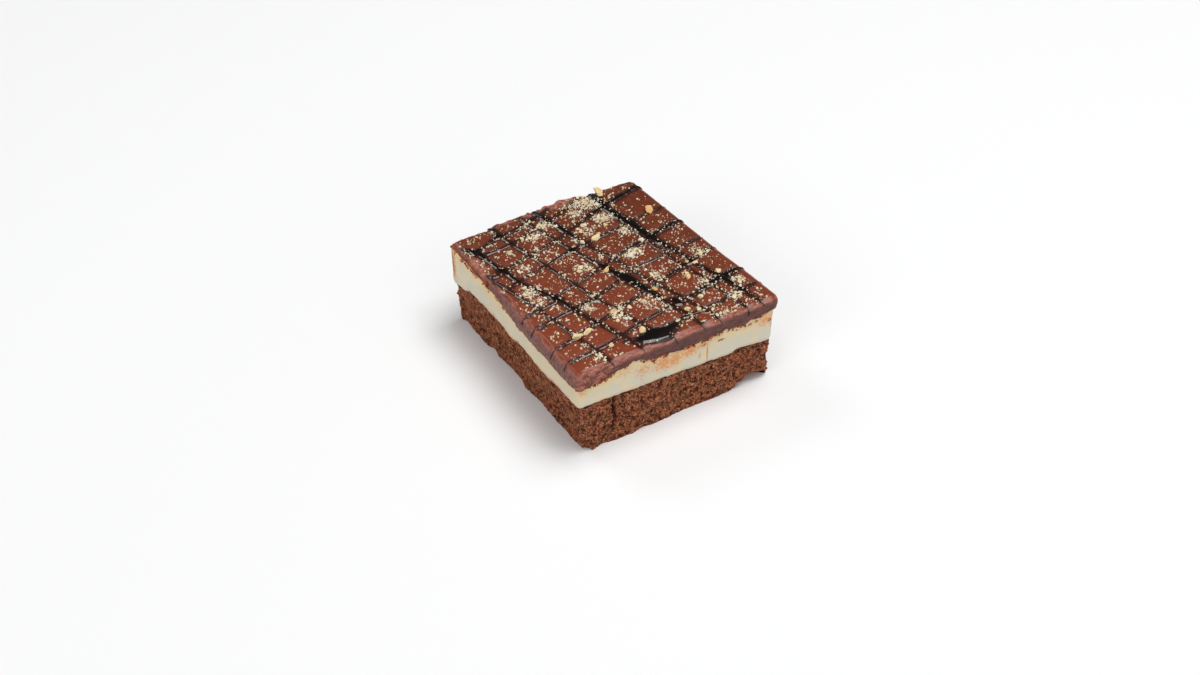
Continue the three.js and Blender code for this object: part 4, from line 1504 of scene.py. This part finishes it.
@dataclass
class SyrupLattice:
    """The syrup: one sheet that holds the strands and pools on the top, and drips down the sides."""

    surface: TopSurface
    keep: float = 0.62
    inset: float = 0.75
    height: float = 0.6
    steep: float = 1.8
    under: float = 0.5
    swelling: tuple = (0.55, (-5.4, -41.6), (7.5, 2.8))
    drip_starts: tuple[float, ...] = (3.4, 2.6, 1.8, 1.0, 0.4)
    drip_sides: int = 10
    finish: SyrupFinish = SyrupFinish()

    def _over(self, away: Points) -> Points:
        """Height of the syrup's surface over the chocolate's sunken bed, by the distance from its edge."""
        inside = self.height * (1 - np.exp(self.steep * np.minimum(away, 0)))
        return np.where(away < 0, inside, -self.height * self.steep * away)

    def _sheet(self) -> bmesh.types.BMesh:
        """Makes the sheet of strands and pools.

        Returns:
            The sheet, as a closed body.
        """
        syrup = self.surface.syrup
        made = bmesh.new()
        cells = [size - 1 for size in syrup.SIZE]
        bmesh.ops.create_grid(made, x_segments=cells[0], y_segments=cells[1], size=0.5)
        x, y = [low + (part + 0.5) * count * syrup.STEP
                for low, part, count in zip(syrup.LOW, corners_of(made).T, cells)]
        away = syrup.at(x, y)
        bare = (away > self.keep) | (self.surface.inset(x, y) < self.inset)
        rise, middle, reach = self.swelling
        z = self.surface.height(x, y) + np.clip(self._over(away), -0.6, None)
        z += rise * blob(x, y, middle, reach) * ramp(-away, 0.1, 1.3)
        move_corners(made, np.column_stack([x, y, z]))
        gone = [corner for corner, empty in zip(made.verts, bare) if empty]
        bmesh.ops.delete(made, geom=gone, context="VERTS")
        extruded = bmesh.ops.extrude_face_region(made, geom=list(made.faces), use_keep_orig=True)
        lower = [part for part in extruded["geom"] if isinstance(part, bmesh.types.BMVert)]
        bmesh.ops.translate(made, verts=lower, vec=(0, 0, -self.under))
        return made

    def _drip_path(self, end: Points, before: Points, length: float, seed: int) -> tuple[Points, Points]:
        """Lays a drip's path from the top over the edge and down the side.

        Args:
            end: the strand's end, as x, y, half width.
            before: a place on the strand a little way in, likewise.
            length: how far down the side it runs.
            seed: picks its wobble.

        Returns:
            Its places, and the direction that the surface faces at each.
        """
        x, y, _ = end
        side, _ = PLAN.side_of(np.array([x]), np.array([y]))
        out_x, out_y = list(Side)[int(side[0])].value
        drift = random.Random(seed).uniform(-0.1, 0.35)
        inward = (before[:2] - end[:2]) / np.linalg.norm(before[:2] - end[:2])
        path = []
        for back in self.drip_starts:
            px, py = x + inward[0] * back, y + inward[1] * back
            if out_x >= 0 or px >= PLAN.left - PLAN.lip + float(PLAN.left_in(y, 0.0)):
                path.append(((px, py, PLAN.top - 0.12), (0, 0, 1.0)))
        for depth in np.arange(0.0, max(length, 0.8), 0.4):
            shift, deeper = PLAN.topping_out(*np.array([[part] * 2 for part in (x, y, out_x, out_y)]),
                                             np.array([depth, depth + 0.05])).tolist()
            slip = drift * depth + 0.14 * math.sin(depth * 1.7 + seed)
            wall = float(PLAN.right_at(y)) if out_x > 0 else PLAN.left
            px = x + slip if out_x == 0 else wall + out_x * shift
            py = y - slip if out_x != 0 else out_y * (PLAN.back + shift)
            path.append(((px, py, PLAN.top - depth - 0.05), (out_x, out_y, (deeper - shift) / 0.05)))
        places, normals = np.array(path, float).transpose(1, 0, 2)
        normals /= np.linalg.norm(normals, axis=1)[:, None]
        for _ in range(2):
            for row in (places, normals):
                row[1:-1] = (row[:-2] + 2 * row[1:-1] + row[2:]) / 4
        return places, normals / np.linalg.norm(normals, axis=1)[:, None]

    def _drip(self, made: bmesh.types.BMesh, end: Points, before: Points, length: float, seed: int) -> None:
        """Adds a drip that runs from a strand's end over the edge and down the side.

        Args:
            made: the mesh that it is added to.
            end: the strand's end, as x, y, half width.
            before: a place on the strand a little way in, likewise.
            length: how far down the side it runs.
            seed: picks its wobble.
        """
        places, normals = self._drip_path(end, before, length, seed)
        run = np.gradient(places, axis=0)
        across = np.cross(normals, run / np.linalg.norm(run, axis=1)[:, None])
        across /= np.linalg.norm(across, axis=1)[:, None]
        order = np.arange(len(places))
        width = end[2] * np.interp(order, [0, 4, len(places) - 1], [1.0, 0.85, 0.55])
        width *= 1 + 0.16 * np.sin(order * 1.3 + seed)
        width[-2:] *= np.array([0.95, 0.3])
        tube = Drum(self.drip_sides, len(places))
        level = tube.level
        angle = tube.station / self.drip_sides * 2 * math.pi
        tall = np.where(np.sin(angle) > 0, 0.36 + 0.25 * width[level], 0.5) * np.sin(angle)
        tall[level == tube.last] *= 0.35
        sideways = across[level] * (np.cos(angle) * width[level])[:, None]
        move_corners(tube.made, places[level] + sideways + normals[level] * tall[:, None])
        join(made, tube.made)

    def build(self) -> bpy.types.Object:
        """Builds the syrup.

        Returns:
            The piece.
        """
        made = self._sheet()
        for index, strand in enumerate(STRANDS):
            samples = strand.samples(0.9)
            if strand.fall:
                self._drip(made, samples[-1], samples[-5], strand.fall, index)
            if strand.start_fall:
                self._drip(made, samples[0], samples[4], strand.start_fall, index + 40)
        x, y, _ = corners_of(made).T
        thick = ramp(-self.surface.syrup.at(x, y), 0.1, 1.3)
        return finished("syrup", made, self.finish.material(), {"thick": thick})


@dataclass
class Nuts:
    """Chopped nuts on the topping.

    A chip is [x, y, width, length, turn, tone], and a heap of powder is [x, y, reach, strength].
    """

    surface: TopSurface
    chips: Rows = (
        (22.6, 44, 3.2, 4.4, 10, 0.7), (32.6, 23.4, 3.2, 3.8, -20, 0.95), (5.4, 18.2, 4, 2.4, 15, 0.4),
        (-0.4, 18.8, 1.8, 2.4, 0, 0.3), (-2.2, -0.9, 3, 1.9, 30, 0.85), (-31.6, -28.9, 3.6, 3, 0, 0.5),
        (-27.4, -28.7, 4, 1.7, 20, 0.45), (-13.3, -23, 2.6, 1.8, 0, 0.95), (-10.9, -37.6, 2.2, 2.9, -20, 0.6),
        (-24.3, -39, 1.7, 2.3, -30, 0.7), (19, 8.3, 2.2, 2.4, -40, 0.2), (20, -20.6, 1.9, 3.2, -35, 0.8),
        (21, -18.6, 1.8, 1.8, 0, 0.4), (6, -20, 2.2, 1.7, 0, 0.9), (31.5, -23.1, 2.4, 2.2, 20, 0.5),
        (32.6, -10.4, 1.8, 2.2, -20, 0.35), (28, -14.1, 1.9, 2, 0, 0.3), (9, -36.2, 2.2, 2.6, 0, 0.6),
        (12.7, -38, 1.8, 1.5, 0, 0.4), (25.6, -12, 1.7, 1.6, 0, 0.9), (17, -32.6, 2.6, 2.2, 30, 0.4),
        (-9.6, 4.8, 1.8, 1.7, 0, 0.2), (27.6, -38.2, 1.9, 1.6, 30, 0.3), (14.6, 40, 1.8, 2.2, 0, 0.8),
        (2.6, -39.4, 1.5, 1.7, 0, 0.3),
    )
    heaps: Rows = (
        (13.5, 41, 5, 1.0), (18, 40.5, 3.5, 0.8), (15, 28.5, 4, 1.0), (-14, 31, 3.2, 0.9),
        (-6.5, 36, 2.6, 0.8), (5, 25, 3, 0.8), (17, 17, 3, 0.8), (12, -13.5, 3, 0.7), (24, -26, 3.4, 0.8),
        (20, -43.5, 3, 0.7), (34, -31, 2.6, 0.6), (28, -37.5, 3, 0.7), (-31, -42, 2.4, 0.4),
        (-20, -17, 2.6, 0.6), (-13, -27, 3, 0.7), (0, -25, 3.4, 0.8), (13, 4, 2.6, 0.6), (-33, 2, 3, 0.8),
        (-27, 16, 2.6, 0.6), (7, 36, 3, 0.6), (10, 2, 2.6, 0.5), (-9, 5, 3, 0.7), (-10, -22, 2.6, 0.5),
        (-33, -5, 2.6, 0.6), (33, -9, 2.6, 0.6),
    )
    small_chips: int = 110
    grains: int = 7200
    finish: NutFinish = NutFinish()

    def _near(self, heap: tuple[float, ...], rolls: random.Random) -> Pair:
        """Picks a place in or near a heap."""
        px, py, reach, _ = heap
        return px + rolls.gauss(0, reach * 0.6), py + rolls.gauss(0, reach * 0.6)

    def _lump(self, rolls: random.Random) -> bmesh.types.BMesh:
        """Makes a rounded lump of unit radius with a few faces cut flat.

        Args:
            rolls: the source of its draws.

        Returns:
            The lump.
        """
        lump = bmesh.new()
        bmesh.ops.create_icosphere(lump, subdivisions=3, radius=1)
        salt = Vector([rolls.uniform(-50, 50) for _ in range(3)])
        for _ in range(7):
            facing = Vector([rolls.gauss(0, 1) for _ in range(3)]).normalized()
            cut = bmesh.ops.bisect_plane(lump, geom=[*lump.verts, *lump.edges, *lump.faces], clear_outer=True,
                                         plane_co=facing * rolls.uniform(0.55, 0.85), plane_no=facing)
            rim = [part for part in cut["geom_cut"] if isinstance(part, bmesh.types.BMEdge)]
            if rim:
                bmesh.ops.contextual_create(lump, geom=rim)
        for _ in range(3):
            bmesh.ops.triangulate(lump, faces=lump.faces)
            long_edges = [edge for edge in lump.edges if edge.calc_length() > 0.3]
            bmesh.ops.subdivide_edges(lump, edges=long_edges, cuts=1)
        bmesh.ops.triangulate(lump, faces=lump.faces)
        for corner in lump.verts:
            coarse, fine = noise.noise(corner.co * 1.4 + salt), noise.noise(corner.co * 4 + salt)
            corner.co *= 1 + 0.3 * coarse + 0.2 * fine
        bmesh.ops.smooth_vert(lump, verts=lump.verts, factor=0.2, use_axis_x=True, use_axis_y=True,
                              use_axis_z=True)
        return lump

    def _chip(self, made: bmesh.types.BMesh, chip: tuple[float, ...], rolls: random.Random) -> int:
        """Adds one chip, a little sunk in.

        Args:
            made: the mesh that it is added to.
            chip: its x, y, width, length, turn and tone.
            rolls: the source of its draws.

        Returns:
            The number of its corners.
        """
        x, y, width, length, turn, _ = chip
        lump = self._lump(rolls)
        tall = 0.28 * (width + length) / 2
        bmesh.ops.scale(lump, verts=lump.verts, vec=(width / 2 * 1.06, length / 2 * 1.06, tall * 1.1))
        first, second = [Matrix.Rotation(rolls.uniform(-0.3, 0.3), 3, axis) for axis in "XY"]
        tilt = first @ second
        bmesh.ops.rotate(lump, verts=lump.verts, matrix=Matrix.Rotation(math.radians(turn), 3, "Z") @ tilt)
        ground = float(self.surface.height(np.array([x]), np.array([y]))[0])
        lowest = min(corner.co.z for corner in lump.verts)
        bmesh.ops.translate(lump, verts=lump.verts, vec=(x, y, ground - lowest - 0.22 * tall))
        return join(made, lump)

    def build_chips(self) -> bpy.types.Object:
        """Builds the larger chips and some small ones among them.

        Returns:
            The piece.
        """
        rolls = random.Random(11)
        made = bmesh.new()
        small = []
        for _ in range(self.small_chips):
            x, y = self._near(rolls.choice(self.heaps), rolls)
            size = rolls.uniform(0.8, 1.5)
            if self.surface.inset(np.array([x]), np.array([y]))[0] > 1.2:
                length = size * rolls.uniform(0.8, 1.5)
                small.append((x, y, size, length, rolls.uniform(0, 180), rolls.uniform(0, 0.5)))
        chips = (*self.chips, *small)
        tones = np.concatenate([np.full(self._chip(made, chip, rolls), chip[-1]) for chip in chips])
        return finished("nut_chips", made, self.finish.material(), {"tone": tones}, smooth=False)

    def _spots(self) -> list[Pair]:
        """Picks where the grains of powder lie: in heaps, next to one another, and strewn between.

        Returns:
            The x and y of each grain.
        """
        rolls = random.Random(23)
        weights = [strength * reach for _, _, reach, strength in self.heaps]
        spots: list[Pair] = []
        while len(spots) < self.grains:
            chance = rolls.random()
            if chance < 0.24:
                spot = self._near(rolls.choices(self.heaps, weights)[0], rolls)
            elif chance < 0.62 and spots:
                px, py = rolls.choice(spots)
                spot = px + rolls.gauss(0, 0.45), py + rolls.gauss(0, 0.45)
            else:
                spot = rolls.uniform(-40, 38), rolls.uniform(-45, 45)
                bare = blob(*np.array(spot), (-22, -38), (11, 9)) + blob(*np.array(spot), (32, 33), (9, 14))
                if rolls.random() < 0.75 * float(bare):
                    continue
            if self.surface.inset(*np.array(spot)[:, None])[0] > 0.5:
                spots.append(spot)
        return spots

    def build_powder(self, material: bpy.types.Material) -> bpy.types.Object:
        """Builds the fine powder.

        Args:
            material: the finish that the chips have.

        Returns:
            The piece.
        """
        x, y = np.array(self._spots()).T
        sizes = 0.12 + 0.3 * np.random.default_rng(29).random(len(x)) ** 2.2
        raised = np.where(self.surface.syrup.at(x, y) < 0, 0.25, 0.0)
        z = self.surface.height(x, y) + raised + sizes * 0.35
        return scattered("nut_powder", np.column_stack([x, y, z]), sizes, material, 31, (0.0, 0.4))


# Studio


@dataclass
class Studio:
    """Plain floor, soft lights placed in metres, and the camera placed in millimetres."""

    eye: Triple = (-229.8, -358.8, 338.6)
    target: Triple = (-0.5, 6.1, 0.0)
    lens: float = 43.2
    floor_half: float = 3.0
    lit: Triple = (0, 0, 0.025)
    lights: dict[str, tuple] = field(default_factory=lambda: {
        "overhead": ((0.55, -0.25, 2.0), (1.5, 1.2), 32.0),
        "front": ((0.3, -2.2, 1.5), (2.0, 1.2), 7.0),
        "left": ((-2.2, -0.9, 1.4), (1.6, 1.2), 18.0),
        "back": ((-0.6, 1.5, 1.6), (0.9, 0.7), 7.0),
    })

    def _placed(self, name: str, data: bpy.types.ID, place: Vector, target: Vector) -> bpy.types.Object:
        """Places a light or camera so that it faces the target.

        Args:
            name: its name.
            data: the light or camera.
            place: where it goes, in metres.
            target: what it faces.

        Returns:
            The object.
        """
        thing = bpy.data.objects.new(name, data)
        thing.location = place
        thing.rotation_euler = (target - place).to_track_quat("-Z", "Y").to_euler()
        bpy.context.scene.collection.objects.link(thing)
        return thing

    def _floor(self) -> None:
        """Lays the floor."""
        made = bmesh.new()
        bmesh.ops.create_grid(made, x_segments=4, y_segments=4, size=self.floor_half)
        mesh = bpy.data.meshes.new("floor")
        made.to_mesh(mesh)
        made.free()
        mesh.materials.append(FloorFinish().material())
        floor = bpy.data.objects.new("floor", mesh)
        bpy.context.scene.collection.objects.link(floor)

    def _surroundings(self) -> None:
        """Makes the surroundings, brighter towards the front and above."""
        world = bpy.data.worlds.new("studio")
        graph = Graph("studio", world)
        front = (graph.axis("Z") * 0.35 - graph.axis("Y")).ramp(-0.55, 0.9, 0.07, 0.36)
        glow = graph.value("ShaderNodeBackground", {}, {"Color": (0.97, 0.98, 1.0, 1.0), "Strength": front})
        graph.node("ShaderNodeOutputWorld", {}, {"Surface": glow})
        bpy.context.scene.world = world

    def build(self) -> None:
        """Sets the floor, the surroundings, the lights and the camera."""
        self._floor()
        self._surroundings()
        for name, (place, size, power) in self.lights.items():
            lamp = bpy.data.lights.new(name, "AREA")
            lamp.shape = "RECTANGLE"
            lamp.size, lamp.size_y = size
            lamp.energy = power
            self._placed(name, lamp, Vector(place), Vector(self.lit))
        camera = bpy.data.cameras.new("camera")
        camera.lens = self.lens
        camera.sensor_width = 36.0
        camera.clip_start = 0.01
        camera.clip_end = 20.0
        eye, target = [(Vector(place) + PLAN.offset) * MM for place in (self.eye, self.target)]
        bpy.context.scene.camera = self._placed("camera", camera, eye, target)
        bpy.context.scene.view_settings.view_transform = "Standard"
        LOG.info("studio: floor, %d lights and the camera", len(self.lights))


def main() -> None:
    """Builds the cake square and the studio round it."""
    logging.basicConfig(level=logging.INFO, format="%(message)s")
    Studio().build()
    surface = TopSurface(SyrupField())
    sponge = Sponge()
    sponge.build()
    sponge.build_crumbs()
    Cream().build()
    nuts = Nuts(surface)
    topping = Topping(surface, nuts.heaps)
    topping.build()
    topping.build_bits()
    SyrupLattice(surface).build()
    chips = nuts.build_chips()
    nuts.build_powder(chips.data.materials[0])


if __name__ == "__main__":
    main()
